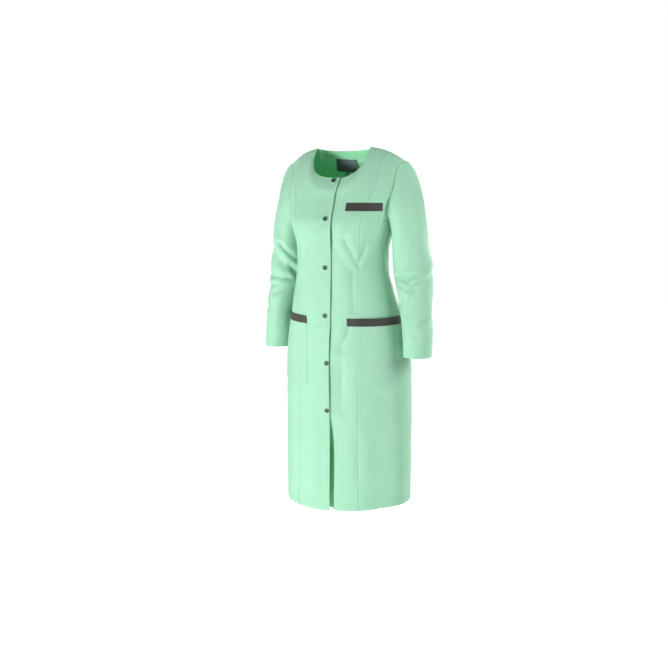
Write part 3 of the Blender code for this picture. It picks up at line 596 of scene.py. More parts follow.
def linear(colour):
    """An sRGB hex value as linear RGBA."""
    parts = [int(colour[k : k + 2], 16) / 255 for k in (0, 2, 4)]
    return (*[c / 12.92 if c <= 0.04045 else ((c + 0.055) / 1.055) ** 2.4 for c in parts], 1)


def add_node(tree, kind, inputs=None, **settings):
    """A node with its settings. An input is a number or colour, or the socket that feeds it."""
    node = tree.nodes.new(kind)
    for name, value in settings.items():
        setattr(node, name, value)
    for name, value in (inputs or {}).items():
        if isinstance(value, bpy.types.NodeSocket):
            tree.links.new(value, node.inputs[name])
        else:
            node.inputs[name].default_value = value
    return node


def new_material(name, finish):
    """A material with its tree and its Principled shader, whose settings finish gives."""
    material = bpy.data.materials.new(name)
    material.use_nodes = True
    shader = material.node_tree.nodes["Principled BSDF"]
    for setting, value in finish.items():
        shader.inputs[setting].default_value = value
    return material, material.node_tree, shader


# Sizes of the twill's patterns. Its diagonal ribs are really 0.5 mm apart. They are drawn 1.6 mm
# apart, which TWILL_RIB gives on the diagonal, so that they show.
BAND_SPACING = 0.314            # of a Wave texture's bands at scale 1
TWILL_RIB, TWILL_RIB_HEIGHT = 0.0011, 0.00006
SLUB_SCALE = 26.0               # thicker and thinner yarn shifts the shade over 38 mm
CRUMPLE_SCALE, CRUMPLE_HEIGHT = 15.0, 0.0075                    # wear leaves soft hollows of 67 mm
LIGHT_THROUGH = "7fe0a8"        # light that has passed through the cloth


def twill(name, colour, shade, sheen=0.25, through=0.0):
    """Piece-dyed twill of cotton and polyester. through is the share of light that it lets by."""
    material, tree, shader = new_material(name, {
        "Roughness": 0.66, "Sheen Weight": sheen, "Sheen Roughness": 0.6,
        "Specular IOR Level": 0.45,
    })
    place = add_node(tree, "ShaderNodeTexCoord").outputs["Object"]
    cut = add_node(tree, "ShaderNodeUVMap", uv_map="cut").outputs["UV"]
    turned = add_node(tree, "ShaderNodeAttribute", attribute_name="turned").outputs["Fac"]
    slub = add_node(
        tree, "ShaderNodeTexNoise", {"Vector": place, "Scale": SLUB_SCALE, "Detail": 5.0}
    )
    share = add_node(
        tree, "ShaderNodeMapRange",
        {"Value": slub.outputs["Fac"], "From Min": 0.3, "From Max": 0.7, "To Max": 0.35},
    )
    dyed = add_node(
        tree, "ShaderNodeMix",
        {0: share.outputs["Result"], 6: linear(colour), 7: linear(shade)}, data_type="RGBA",
    )
    doubled = add_node(tree, "ShaderNodeMapRange", {"Value": turned, "To Max": 0.16})
    double = add_node(
        tree, "ShaderNodeMix",
        {0: doubled.outputs["Result"], 6: dyed.outputs[2], 7: linear(shade)}, data_type="RGBA",
    )
    tree.links.new(double.outputs[2], shader.inputs["Base Color"])
    ribs = add_node(
        tree, "ShaderNodeTexWave",
        {"Vector": cut, "Scale": BAND_SPACING / TWILL_RIB, "Distortion": 0.6, "Detail": 1.0},
        bands_direction="DIAGONAL",
    )
    crumple = add_node(
        tree, "ShaderNodeTexNoise", {"Vector": place, "Scale": CRUMPLE_SCALE, "Detail": 2.5}
    )
    weave = add_node(
        tree, "ShaderNodeBump",
        {"Height": ribs.outputs["Fac"], "Strength": 0.5, "Distance": TWILL_RIB_HEIGHT},
    )
    soft = add_node(
        tree, "ShaderNodeBump",
        {"Height": crumple.outputs["Fac"], "Strength": 0.6, "Distance": CRUMPLE_HEIGHT,
         "Normal": weave.outputs["Normal"]},
    )
    tree.links.new(soft.outputs["Normal"], shader.inputs["Normal"])
    if through:
        lit = add_node(tree, "ShaderNodeBsdfTranslucent", {"Color": linear(LIGHT_THROUGH)})
        both = add_node(
            tree, "ShaderNodeMixShader",
            {0: through, 1: shader.outputs["BSDF"], 2: lit.outputs["BSDF"]},
        )
        tree.links.new(both.outputs["Shader"], tree.nodes["Material Output"].inputs["Surface"])
    return material


def dress(obj, material, slot, *nodes):
    """Gives a piece its material, hangs it from the root and hides the solids it stands for."""
    obj.data.materials.append(material)
    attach(obj, "root")
    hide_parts(*nodes)


# Pressed twill of pale mint: matt, with a faint bloom where it turns away. It is thin enough for
# light to glow through in a deeper green, as inside the neck.
mint_twill = twill("mint_cotton_polyester_twill", "b2e5ca", "a3ddbe", through=0.30)

front_right = panel(
    "front_right_cloth", on_side(1, lap_angle), on_side(-1, front_seam_angle), free_left=True
)
front_left = panel(
    "front_left_cloth", on_side(-1, lap_angle), on_side(1, front_seam_angle), free_left=True,
    sink=lap_sink,
)
side_front_right = panel(
    "side_front_right_cloth", on_side(-1, front_seam_angle),
    lambda level: -90 + armhole_angle(level, ARMHOLE_FRONT_CUT), under_left=1,
)
side_front_left = panel(
    "side_front_left_cloth", on_side(1, front_seam_angle),
    lambda level: 90 - armhole_angle(level, ARMHOLE_FRONT_CUT), sink=lap_sink, under_left=1,
)
back = panel(
    "back_cloth", lambda level: 90 + armhole_angle(level, ARMHOLE_BACK_CUT),
    lambda level: 270 - armhole_angle(level, ARMHOLE_BACK_CUT), under_left=1, under_right=1,
    darts=BACK_DARTS,
)
BODY_SHEETS = (
    # piece, node, flat width and length, flat area
    (front_right, "front_right", (0.150, 1.010), 0.124),
    (front_left, "front_left", (0.150, 1.010), 0.123),
    (side_front_right, "side_front_right", (0.190, 1.075), 0.151),
    (side_front_left, "side_front_left", (0.190, 1.075), 0.149),
    (back, "back", (0.560, 1.075), 0.498),
)
for piece, node, flat, area in BODY_SHEETS:
    dress(piece, mint_twill, "mint_cloth", node)

# ==== Sleeves ====================================================================================
# One-piece set-in sleeves of the same twill, sewn into the armholes with a little ease, closed by a
# seam under the arm and finished with a 22 mm turned hem. The elbows hold the creases of wear.
SleeveRing = namedtuple("SleeveRing", "z across back half_wide half_deep")
SLEEVE_RINGS = {                # by side, 1 for the wearer's left
    1: (
        #          z      across   back    half_wide half_deep
        SleeveRing(-0.598, 0.2400, 0.0040, 0.0410, 0.0460),
        SleeveRing(-0.520, 0.2350, 0.0120, 0.0440, 0.0500),
        SleeveRing(-0.440, 0.2250, 0.0200, 0.0480, 0.0540),
        SleeveRing(-0.350, 0.2115, 0.0280, 0.0560, 0.0590),
        SleeveRing(-0.275, 0.2040, 0.0240, 0.0510, 0.0600),
    ),
    -1: (
        SleeveRing(-0.602, 0.2320, 0.0040, 0.0400, 0.0440),
        SleeveRing(-0.520, 0.2275, 0.0120, 0.0430, 0.0490),
        SleeveRing(-0.440, 0.2190, 0.0200, 0.0470, 0.0530),
        SleeveRing(-0.350, 0.2065, 0.0280, 0.0540, 0.0590),
        SleeveRing(-0.275, 0.1990, 0.0240, 0.0480, 0.0600),
    ),
}
# The sleeve leaves the armhole outwards and down, and curves into the arm's first ring.
CAP_REACH_TOP, CAP_REACH_UNDERARM, CAP_SLOPE, CAP_DROP = 0.042, 0.0040, 0.8, 0.44
CAP_LENGTH, CAP_SEAM_ROLL, CAP_FOLDS_FROM = 0.15, 0.6, 0.080
CAP_ALLOWANCE = (0.008, 0.0125)
SLEEVE_GAP = 0.0006
SLEEVE_RADIUS = 0.052
SLEEVE_COLUMNS = 84
BESIDE_SEAM = (-3.2, -1.7, -0.8, 0.8, 1.7, 3.2)                 # in degrees from the sleeve's seam

# The angle is 0 on the outer side of the arm, 90 in front and 180 next to the body.
SLEEVE_FOLDS = {
    1: (
        Fold(-35.0, -0.345, 65.0, -0.405, 0.0120, 0.0078),
        Fold(65.0, -0.405, 110.0, -0.470, 0.0120, 0.0066),
        Fold(80.0, -0.375, 150.0, -0.385, 0.0110, 0.0072),
        Fold(-20.0, -0.325, 60.0, -0.372, 0.0150, -0.0048),
        Fold(200.0, -0.350, 260.0, -0.380, 0.0140, 0.0060),
        Fold(-70.0, -0.420, 0.0, -0.500, 0.0160, 0.0054),
        Fold(60.0, -0.200, 100.0, -0.300, 0.0160, 0.0054),
        Fold(-80.0, -0.230, -110.0, -0.330, 0.0160, 0.0054),
    ),
    -1: (
        Fold(25.0, -0.290, 100.0, -0.335, 0.0120, 0.0072),
        Fold(95.0, -0.340, 150.0, -0.372, 0.0130, 0.0084),
        Fold(10.0, -0.375, 120.0, -0.378, 0.0110, 0.0060),
        Fold(0.0, -0.425, 100.0, -0.400, 0.0130, 0.0054),
        Fold(200.0, -0.345, 265.0, -0.370, 0.0140, 0.0060),
        Fold(-60.0, -0.300, -10.0, -0.345, 0.0140, 0.0048),
        Fold(60.0, -0.190, 100.0, -0.280, 0.0160, 0.0048),
        Fold(-80.0, -0.230, -110.0, -0.330, 0.0160, 0.0054),
    ),
}
SLEEVE_CREASES = {
    1: (
        Fold(-23.0, -0.355, 25.0, -0.369, 0.0070, 0.0052),
        Fold(25.0, -0.369, 89.0, -0.406, 0.0070, 0.0060),
        Fold(89.0, -0.406, 147.0, -0.464, 0.0075, 0.0047),
        Fold(56.0, -0.362, 147.0, -0.377, 0.0065, 0.0056),
        Fold(101.0, -0.398, 147.0, -0.391, 0.0070, 0.0044),
        Fold(6.0, -0.471, 51.0, -0.500, 0.0080, 0.0052),
        Fold(67.0, -0.537, 89.0, -0.522, 0.0090, 0.0024),
        Fold(200.0, -0.330, 250.0, -0.345, 0.0080, 0.0047),
        Fold(-95.0, -0.395, -30.0, -0.410, 0.0080, 0.0044),
        Fold(-110.0, -0.300, -60.0, -0.322, 0.0090, 0.0036),
    ),
    -1: (
        Fold(85.0, -0.280, 147.0, -0.333, 0.0080, 0.0052),
        Fold(125.0, -0.345, 164.0, -0.384, 0.0075, 0.0068),
        Fold(46.0, -0.384, 164.0, -0.391, 0.0080, 0.0047),
        Fold(83.0, -0.435, 147.0, -0.413, 0.0080, 0.0044),
        Fold(200.0, -0.325, 250.0, -0.350, 0.0080, 0.0047),
        Fold(-95.0, -0.390, -20.0, -0.402, 0.0080, 0.0044),
        Fold(-110.0, -0.310, -50.0, -0.335, 0.0090, 0.0036),
        Fold(10.0, -0.470, 60.0, -0.485, 0.0090, 0.0032),
    ),
}


def sleeve_ring_point(side, angle, z):
    a = np.radians(angle)
    rings = SLEEVE_RINGS[side]
    wide, deep = from_table(rings, "half_wide", z), from_table(rings, "half_deep", z)
    return vectors(
        side * (from_table(rings, "across", z) + wide * np.cos(a)),
        from_table(rings, "back", z) - deep * np.sin(a),
        z,
    )


def armhole_loop(side, sleeve_angles):
    """Points, ways out of the body and heights round the armhole, at the sleeve's own angles."""
    down = np.linspace(TOP, UNDERARM, 160)
    front = 90 - armhole_angle(down, ARMHOLE_FRONT_CUT)
    behind = 90 + armhole_angle(down[::-1], ARMHOLE_BACK_CUT)
    angles, levels = np.concatenate([front, behind[1:]]), np.concatenate([down, down[::-1][1:]])
    points = body_point(side * angles, levels)
    walked = distance_along(points, 0)
    lowest = len(down) - 1
    own = np.where(
        np.arange(len(levels)) <= lowest,
        180 * walked / walked[lowest],
        180 + 180 * (walked - walked[lowest]) / (walked[-1] - walked[lowest]),
    )
    angle, level = np.interp(sleeve_angles, own, angles), np.interp(sleeve_angles, own, levels)
    point, normal = body_point(side * angle, level), body_normal(side * angle, level)
    height = smooth_step(UNDERARM, TOP, level)
    way = unit(vectors(side, 0, -CAP_SLOPE * height))
    way = way - normal * np.minimum(0.0, np.sum(way * normal, axis=-1))[..., None]
    return point, unit(way), height


def tube_normals(grid, side):
    """The ways out of a closed round of columns."""
    around = np.roll(grid, -1, axis=1) - np.roll(grid, 1, axis=1)
    down = np.gradient(grid, axis=0)
    return unit(np.cross(around, down)) * side


def sleeve(name, side):
    """A sleeve from its armhole to its hem, as a closed round of columns."""
    even = np.linspace(0, 360, SLEEVE_COLUMNS, endpoint=False)
    angles = np.unique(np.concatenate([even, 180 + np.array(BESIDE_SEAM)]))
    point, way, height = armhole_loop(side, angles)
    arm_z, hem_z = SLEEVE_RINGS[side][-1].z, SLEEVE_RINGS[side][0].z
    start = point + way * SLEEVE_GAP
    ring = sleeve_ring_point(side, angles, np.full(angles.shape, arm_z))
    low = ring + vectors(0, 0, np.linalg.norm(start - ring, axis=-1) * CAP_DROP)
    reach = mix(CAP_REACH_UNDERARM, CAP_REACH_TOP, height)[:, None]
    cap_shares = spaced(CAP_LENGTH, GRID, (0, 0.005)) / CAP_LENGTH
    rows = [bent_line(start, start + way * reach, low, ring, share) for share in cap_shares[:-1]]
    arm = arm_z - spaced(arm_z - hem_z, GRID, (arm_z - hem_z - HEM_HEIGHT, arm_z - hem_z))
    rows += [sleeve_ring_point(side, angles, np.full(angles.shape, z)) for z in arm]
    grid = np.stack(rows)
    from_armhole = distance_along(grid, 0)
    a = np.radians(angles)
    inward = -vectors(side * np.cos(a), -np.sin(a), 0)[None]
    turn = np.broadcast_to(angles[None], grid.shape[:2])
    depth = fold_depth(SLEEVE_FOLDS[side], turn, grid[..., 2], SLEEVE_RADIUS)
    depth = depth + fold_depth(SLEEVE_CREASES[side], turn, grid[..., 2], SLEEVE_RADIUS, True)
    depth = depth * np.clip(from_armhole / CAP_FOLDS_FROM, 0, 1)
    grid = grid + inward * depth[..., None]
    normals = tube_normals(grid, side)
    first = normals[0] - way * np.sum(normals[0] * way, axis=-1, keepdims=True)
    normals[0] = unit(first)
    across, along = distance_along(grid, 1), distance_along(grid[::-1], 0)[::-1]
    from_seam = np.abs(turn - 180) * np.pi / 180 * SLEEVE_RADIUS
    relief = CAP_SEAM_ROLL * seam_dip(from_armhole) + seam_dip(from_seam)
    relief += folded_edge(along) + stitch_groove(along, HEM_HEIGHT, across)
    relief += ALLOWANCE_RISE * (1 - smooth_step(*CAP_ALLOWANCE, from_armhole))
    outer = grid + normals * relief[..., None]
    turned = 1 - smooth_step(HEM_HEIGHT, HEM_HEIGHT + TURN_IN_EDGE, along)
    inner = grid - normals * mix(CLOTH_THICKNESS, TURNED_THICKNESS, turned)[..., None]
    SHEETS[name] = Sheet(outer, normals, across, along)
    return cloth_mesh(name, outer, inner, across, along, turned, is_reversed=side < 0, closed=True)


sleeve_left = sleeve("sleeve_left_cloth", 1)
sleeve_right = sleeve("sleeve_right_cloth", -1)
for piece, node in ((sleeve_left, "sleeve_left"), (sleeve_right, "sleeve_right")):
    dress(piece, mint_twill, "mint_cloth", node)

# ==== Hip pockets ================================================================================
# Patch pockets of the mint twill, 205 mm deep, sewn flat along the inner side and the bottom and
# caught in the side seam. Their mouths are bound with a 23 mm band of charcoal twill.
HIP_POCKET_TOP_Z, HIP_POCKET_BOTTOM_Z = -0.485, -0.690
HIP_POCKET_DEPTH = HIP_POCKET_TOP_Z - HIP_POCKET_BOTTOM_Z
HIP_POCKET_INNER_EDGE = 0.066
HIP_BAND_HEIGHT = 0.023
POCKET_LIFT, BAND_LIFT = 0.0012, 0.0022         # of the outer face over the panel
LAID_GRID, LAID_TURN_IN = 0.0036, (0.008, 0.010)
LAID_THICKNESS = 0.0008         # more than an edge's roll, so that the edge keeps a thickness
GAPE_SKEW, GAPE_HEIGHT = 1.2, 0.62              # a pocket gapes most past its middle, and high up


def laid(name, side, low_z, high_z, from_across, to_angle, lift, bulge=0.0):
    """A piece of cloth that lies on a front, from a distance across to an angle by level.

    bulge is how far a pocket gapes. It is the same for the pocket and for the band on its mouth.
    """
    levels = spaced(high_z - low_z, LAID_GRID, (0, high_z - low_z)) + low_z - CHEST_RING_Z
    start = angle_across(np.full(levels.shape, from_across), CHEST_RING_Z + levels)
    end = to_angle(levels)
    angles = side * grid_lines(start, end, levels, (0, "end"))
    points, normals, level_grid = surface(angles, levels, lap_sink if side > 0 else None)
    across, from_end, along, from_top = from_edges(points)
    edge = np.minimum.reduce([across, from_end, along, from_top])
    share = across / across[:, -1:]
    height = (CHEST_RING_Z + level_grid - HIP_POCKET_BOTTOM_Z) / HIP_POCKET_DEPTH
    upwards = np.sin(GAPE_HEIGHT * pi * np.clip(height, 0, 1))
    stand = bulge * np.sin(pi * share**GAPE_SKEW) ** 2 * upwards
    out = lift + stand + folded_edge(edge)
    outer = points + normals * out[..., None]
    inner = points + normals * (lift + stand - LAID_THICKNESS)[..., None]
    turned = 1 - smooth_step(*LAID_TURN_IN, np.minimum(across, along))
    SHEETS[name] = Sheet(outer, normals, across, along)
    return cloth_mesh(name, outer, inner, across, along, turned, is_reversed=side < 0)


def side_seam(level):
    return np.full(np.shape(level), 90.0)


# The same twill dyed charcoal: almost black and quite matt, with the ribs only just to be seen.
charcoal_twill = twill("charcoal_cotton_polyester_twill", "312f2a", "2a2824", sheen=0.1)

for hand, side, gape in (("right", -1, 0.0016), ("left", 1, 0.0050)):
    pocket = laid(
        f"hip_pocket_{hand}_cloth", side, HIP_POCKET_BOTTOM_Z, HIP_POCKET_TOP_Z,
        HIP_POCKET_INNER_EDGE, side_seam, POCKET_LIFT, bulge=gape,
    )
    dress(pocket, mint_twill, "mint_cloth", f"hip_pocket_{hand}")
    band = laid(
        f"hip_band_{hand}_cloth", side, HIP_POCKET_TOP_Z - HIP_BAND_HEIGHT, HIP_POCKET_TOP_Z,
        HIP_POCKET_INNER_EDGE, side_seam, BAND_LIFT, bulge=gape,
    )
    dress(band, charcoal_twill, "charcoal_cloth", f"hip_band_{hand}")

# ==== Chest pocket band ==========================================================================
# A 23 mm welt of the charcoal twill over the mouth of the chest pocket, on the wearer's left only.
# It crosses the seam of the front and is stitched down all round.
CHEST_BAND_TOP_Z, CHEST_BAND_BOTTOM_Z = -0.159, -0.182
CHEST_BAND_FROM, CHEST_BAND_TO = 0.058, 0.150

chest_band = laid(
    "chest_band_cloth", 1, CHEST_BAND_BOTTOM_Z, CHEST_BAND_TOP_Z, CHEST_BAND_FROM,
    lambda level: angle_across(np.full(level.shape, CHEST_BAND_TO), CHEST_RING_Z + level),
    POCKET_LIFT,
)
dress(chest_band, charcoal_twill, "charcoal_cloth", "chest_band")

# ==== Back neck facing ===========================================================================
# A shaped strip of the same twill, wrong side out, turned in along the back of the neckline and
# stitched down along its lower edge, 24 mm below.
FACING_DEPTH = 0.0157           # in levels of the form, 24 mm along the cloth
FACING_INSET, FACING_THICKNESS = 0.0016, 0.0007
FACING_SHORT = 0.4              # in degrees, how far it ends before the shoulder seam


def back_angle(across, levels):
    """The angle on the back at which each level is that far to the wearer's left."""
    angles = np.linspace(216, 144, 145)
    lines = [body_point(angles, np.full(angles.shape, level))[:, 0] for level in levels]
    return np.array([np.interp(across, line, angles) for line in lines])


def inside_back(name, left, right, levels, lift, thickness):
    """Cloth laid on the inside of the back, inset from its outer face by lift."""
    points, normals, _ = surface(grid_lines(left, right, levels, (0, "end")), levels)
    across, from_end, along, from_top = from_edges(points)
    edge = np.minimum.reduce([across, from_end, along, from_top])
    seen = points - normals * (lift + thickness + folded_edge(edge))[..., None]
    hidden = points - normals * lift
    SHEETS[name] = Sheet(seen, -normals, across, along)
    return cloth_mesh(name, hidden, seen, across, along, np.zeros(across.shape))


facing_levels = TOP - np.linspace(FACING_DEPTH, 0, 9)
facing_end = np.full(facing_levels.shape, 180 - NECK_ANGLE + FACING_SHORT)
facing = inside_back(
    "back_neck_facing_cloth", facing_end, 360 - facing_end, facing_levels, FACING_INSET,
    FACING_THICKNESS,
)
# The wrong side of the mint twill: a little deeper in colour, and duller.
facing_twill = twill("mint_twill_wrong_side", "96e4b4", "86daa6", sheen=0.1, through=0.25)
dress(facing, facing_twill, "mint_facing", "back_neck_facing")

# ==== Neck label and size tab ====================================================================
# A label of polyester damask, sewn on just below the facing, from where it hangs nearly plumb, and
# behind it a narrower folded tab of taffeta tape that shows below. Both are heat cut and left bare.
LABEL_FROM, LABEL_TO = -0.0500, 0.0145          # across, to the wearer's left
LABEL_TOP, LABEL_LENGTH, LABEL_LEAN = TOP - 0.0180, 0.0365, 0.0060
TAB_FROM, TAB_TO, TAB_LENGTH = -0.0250, -0.0140, 0.0500
TAB_LEAN = LABEL_LEAN * TAB_LENGTH / LABEL_LENGTH               # parallel to the label
LABEL_INSET, LABEL_THICKNESS = 0.0026, 0.0006   # the inset is from the back's outer face
TAB_INSET, TAB_THICKNESS = 0.0014, 0.0005
RIBBON_COLUMNS, RIBBON_ROWS = 14, 10
FLOAT_PITCH, FLOAT_HEIGHT = 0.0004, 0.00005     # the real pitch, which shows only from close by


def damask(name, colour, shade):
    """Woven label cloth: a satin ground whose fine floats run across and catch the light."""
    material, tree, shader = new_material(name, {"Roughness": 0.62, "Sheen Weight": 0.1})
    cut = add_node(tree, "ShaderNodeUVMap", uv_map="cut").outputs["UV"]
    floats = add_node(
        tree, "ShaderNodeTexWave", {"Vector": cut, "Scale": BAND_SPACING / FLOAT_PITCH},
        bands_direction="Y",
    )
    ground = add_node(
        tree, "ShaderNodeMix",
        {0: floats.outputs["Fac"], 6: linear(colour), 7: linear(shade)}, data_type="RGBA",
    )
    tree.links.new(ground.outputs[2], shader.inputs["Base Color"])
    relief = add_node(
        tree, "ShaderNodeBump",
        {"Height": floats.outputs["Fac"], "Strength": 0.4, "Distance": FLOAT_HEIGHT},
    )
    tree.links.new(relief.outputs["Normal"], shader.inputs["Normal"])
    return material


def hung(name, right, left, length, lean, inset, thickness):
    """A ribbon that hangs nearly plumb from the level LABEL_TOP on the inside of the back."""
    places = np.linspace(right, left, RIBBON_COLUMNS)
    levels = np.full(places.shape, LABEL_TOP)
    angles = np.array([float(back_angle(x, np.array([LABEL_TOP]))[0]) for x in places])
    start = body_point(angles, levels) - body_normal(angles, levels) * inset
    share = np.linspace(1, 0, RIBBON_ROWS)[:, None, None]
    points = start[None] + share * np.array((0, lean, -length))
    seen, hidden = points - vectors(0, thickness, 0), points
    across, along = distance_along(points, 1), distance_along(points, 0)
    forwards = np.broadcast_to(np.array((0, -1.0, 0)), seen.shape)
    SHEETS[name] = Sheet(seen, forwards, across, along)
    return cloth_mesh(
        name, hidden, seen, across, along, np.zeros(across.shape), is_reversed=True
    )


# Damask in slate grey: flat and dark, with a faint gleam from its floats.
label = hung(
    "neck_label_cloth", LABEL_FROM, LABEL_TO, LABEL_LENGTH, LABEL_LEAN, LABEL_INSET,
    LABEL_THICKNESS,
)
dress(label, damask("slate_grey_damask", "54656a", "45545a"), "label_cloth", "neck_label")

# Taffeta tape of a lighter, warmer grey, which sets it off from the label and the cloth.
tab = hung("size_tab_cloth", TAB_FROM, TAB_TO, TAB_LENGTH, TAB_LEAN, TAB_INSET, TAB_THICKNESS)
dress(tab, damask("grey_taffeta_tab", "b9aeb0", "a89d9f"), "size_tab_cloth", "size_tab")

# ==== Snaps ======================================================================================
# Six sprung press studs: a drawn steel cap with a rolled rim and a dished face, enamelled dark
# green, clenched through the right front on a nickelled prong ring.
SNAP_RADIUS, SNAP_HEIGHT = 0.0068, 0.0024
SNAP_RIM, SNAP_DISH, SNAP_DISH_WALL = 0.0014, 0.0007, 0.0005
SNAP_CROWN, SNAP_CROWN_INSET = 0.0002, 0.0022   # the dish's floor rises a little in its middle
SNAP_BEVEL, SNAP_WELD = 0.0005, 0.00002
SNAP_SEAT = 0.0003              # of the cap's back over the cloth
RING_WIRE, RING_CLEARANCE = 0.0006, 0.0001
Snap = namedtuple("Snap", "z across")
SNAPS = (
    Snap(-0.0965, 0.0040), Snap(-0.204, 0.0), Snap(-0.342, 0.0),
    Snap(-0.480, 0.0), Snap(-0.620, 0.0040), Snap(-0.762, 0.0040),
)


def press_stud_cap():
    """The cap, facing up: a disc with its face inset to a rim, a dish and a low crown."""
    bpy.ops.object.select_all(action="DESELECT")
    bpy.ops.mesh.primitive_cylinder_add(
        vertices=48, radius=SNAP_RADIUS, depth=SNAP_HEIGHT, location=(0, 0, SNAP_HEIGHT / 2)
    )
    cap = bpy.context.active_object
    bpy.ops.object.transform_apply(location=True)
    for face in cap.data.polygons:
        face.select = face.normal.z > 0.9
    for edge in cap.data.edges:
        edge.select = False
    for vertex in cap.data.vertices:
        vertex.select = False
    bpy.ops.object.mode_set(mode="EDIT")
    bpy.ops.mesh.select_mode(type="FACE")
    bpy.ops.mesh.inset(thickness=SNAP_RIM)
    bpy.ops.mesh.inset(thickness=SNAP_DISH_WALL)
    bpy.ops.transform.translate(value=(0, 0, -SNAP_DISH))
    bpy.ops.mesh.inset(thickness=SNAP_CROWN_INSET)
    bpy.ops.transform.translate(value=(0, 0, SNAP_CROWN))
    bpy.ops.object.mode_set(mode="OBJECT")
    bevel = cap.modifiers.new("rolled_rim", "BEVEL")
    bevel.width = SNAP_BEVEL
    bevel.segments = 3
    bevel.limit_method = "ANGLE"
    bevel.angle_limit = radians(40)
    bpy.ops.object.modifier_apply(modifier=bevel.name)
    bpy.ops.object.mode_set(mode="EDIT")
    bpy.ops.mesh.select_all(action="SELECT")
    bpy.ops.mesh.remove_doubles(threshold=SNAP_WELD)
    bpy.ops.object.mode_set(mode="OBJECT")
    bpy.ops.object.shade_smooth()
    return cap


def prong_ring():
    """The ring whose prongs hold the cap, seen as a bright wire round its foot."""
    bpy.ops.object.select_all(action="DESELECT")
    bpy.ops.mesh.primitive_torus_add(
        major_radius=SNAP_RADIUS + RING_CLEARANCE, minor_radius=RING_WIRE, major_segments=48,
        minor_segments=10, location=(0, 0, 0),
    )
    ring = bpy.context.active_object
    bpy.ops.object.shade_smooth()
    return ring


WEAR_SCALE = 900.0              # handling varies the shade and the gloss over 1.1 mm


def metal(name, colour, roughness, metallic):
    """Enamelled or plated steel whose shade and gloss vary a little with wear."""
    material, tree, shader = new_material(name, {"Metallic": metallic})
    place = add_node(tree, "ShaderNodeTexCoord").outputs["Object"]
    wear = add_node(
        tree, "ShaderNodeTexNoise", {"Vector": place, "Scale": WEAR_SCALE, "Detail": 4.0}
    )
    light = add_node(
        tree, "ShaderNodeMapRange", {"Value": wear.outputs["Fac"], "To Min": 0.85, "To Max": 1.15}
    )
    tone = add_node(
        tree, "ShaderNodeHueSaturation",
        {"Color": linear(colour), "Value": light.outputs["Result"]},
    )
    rough = add_node(
        tree, "ShaderNodeMapRange",
        {"Value": wear.outputs["Fac"], "To Min": roughness - 0.08, "To Max": roughness + 0.08},
    )
    tree.links.new(tone.outputs["Color"], shader.inputs["Base Color"])
    tree.links.new(rough.outputs["Result"], shader.inputs["Roughness"])
    return material


def level_of_front(angle, z):
    """The level at which the front reaches the height z, also above the chest ring."""
    levels = np.linspace(HEM, TOP, 3000)
    return float(np.interp(z, form_point(np.full(levels.shape, angle), levels)[:, 2], levels))


# Baked enamel: dark bottle green with a satin face, so that its rim holds a soft highlight.
enamel = metal("dark_green_enamel", "154732", 0.58, 0.0)
# Barrel-polished nickel plate: a thin pale line round the foot of each cap.
nickel = metal("nickelled_steel", "c9ccc6", 0.45, 1.0)
cap_model = press_stud_cap()
ring_model = prong_ring()
for number, snap in enumerate(SNAPS, 1):
    snap_angle = float(angle_across(snap.across, min(snap.z, CHEST_RING_Z)))
    snap_level = level_of_front(snap_angle, snap.z)
    out = Vector(body_normal(np.array([snap_angle]), np.array([snap_level]))[0])
    spot = Vector(body_point(np.array([snap_angle]), np.array([snap_level]))[0])
    turned_out = out.to_track_quat("Z", "Y").to_matrix().to_4x4()
    seat = Matrix.Translation(spot + out * SNAP_SEAT) @ turned_out
    for model, kind, finish in ((cap_model, "cap", enamel), (ring_model, "prong_ring", nickel)):
        mesh = model.data.copy()
        mesh.transform(seat)
        piece = new_object(f"snap_{number}_{kind}", mesh)
        dress(piece, finish, "snap_metal", f"snap_{number}")
for model in (cap_model, ring_model):
    bpy.data.objects.remove(model)

# ==== Stitching ==================================================================================
# Lockstitch seams in polyester thread to match the cloth, 3.2 mm a stitch: the hems, the front
# edges, the neckline and its facing, the pockets, the bands and the label.
STITCH_PITCH, STITCH_LENGTH, THREAD_RADIUS = 0.0032, 0.0027, 0.00022
# A stitch is drawn by rings of thread. Their places are in half stitches from its middle, and their
# girths and heights in the thread's radius: it stands up in its middle and dives in at its ends.
STITCH_RINGS, STITCH_GIRTHS = (-1.0, -0.7, 0.0, 0.7, 1.0), (0.25, 0.85, 1.0, 0.85, 0.25)
STITCH_ARCH, STITCH_DIVE, STITCH_SIDES = 0.9, 0.45, 6


def line_at(name, edge, place):
    """The line of a piece at that distance from one of its edges, with the ways out there."""
    points, normals, across, along = SHEETS[name]
    distance = {
        "side": across, "far_side": across[:, -1:] - across, "foot": along,
        "top": along[-1:] - along,
    }[edge]
    if edge in ("foot", "top"):
        distance, points, normals = distance.T, points.swapaxes(0, 1), normals.swapaxes(0, 1)
    line = []
    for d, p, n in zip(distance, points, normals):
        order = np.argsort(d)
        row = [np.interp(place, d[order], values[order, k]) for values in (p, n) for k in range(3)]
        line.append(row)
    line = np.array(line)
    return line[:, :3], unit(line[:, 3:])


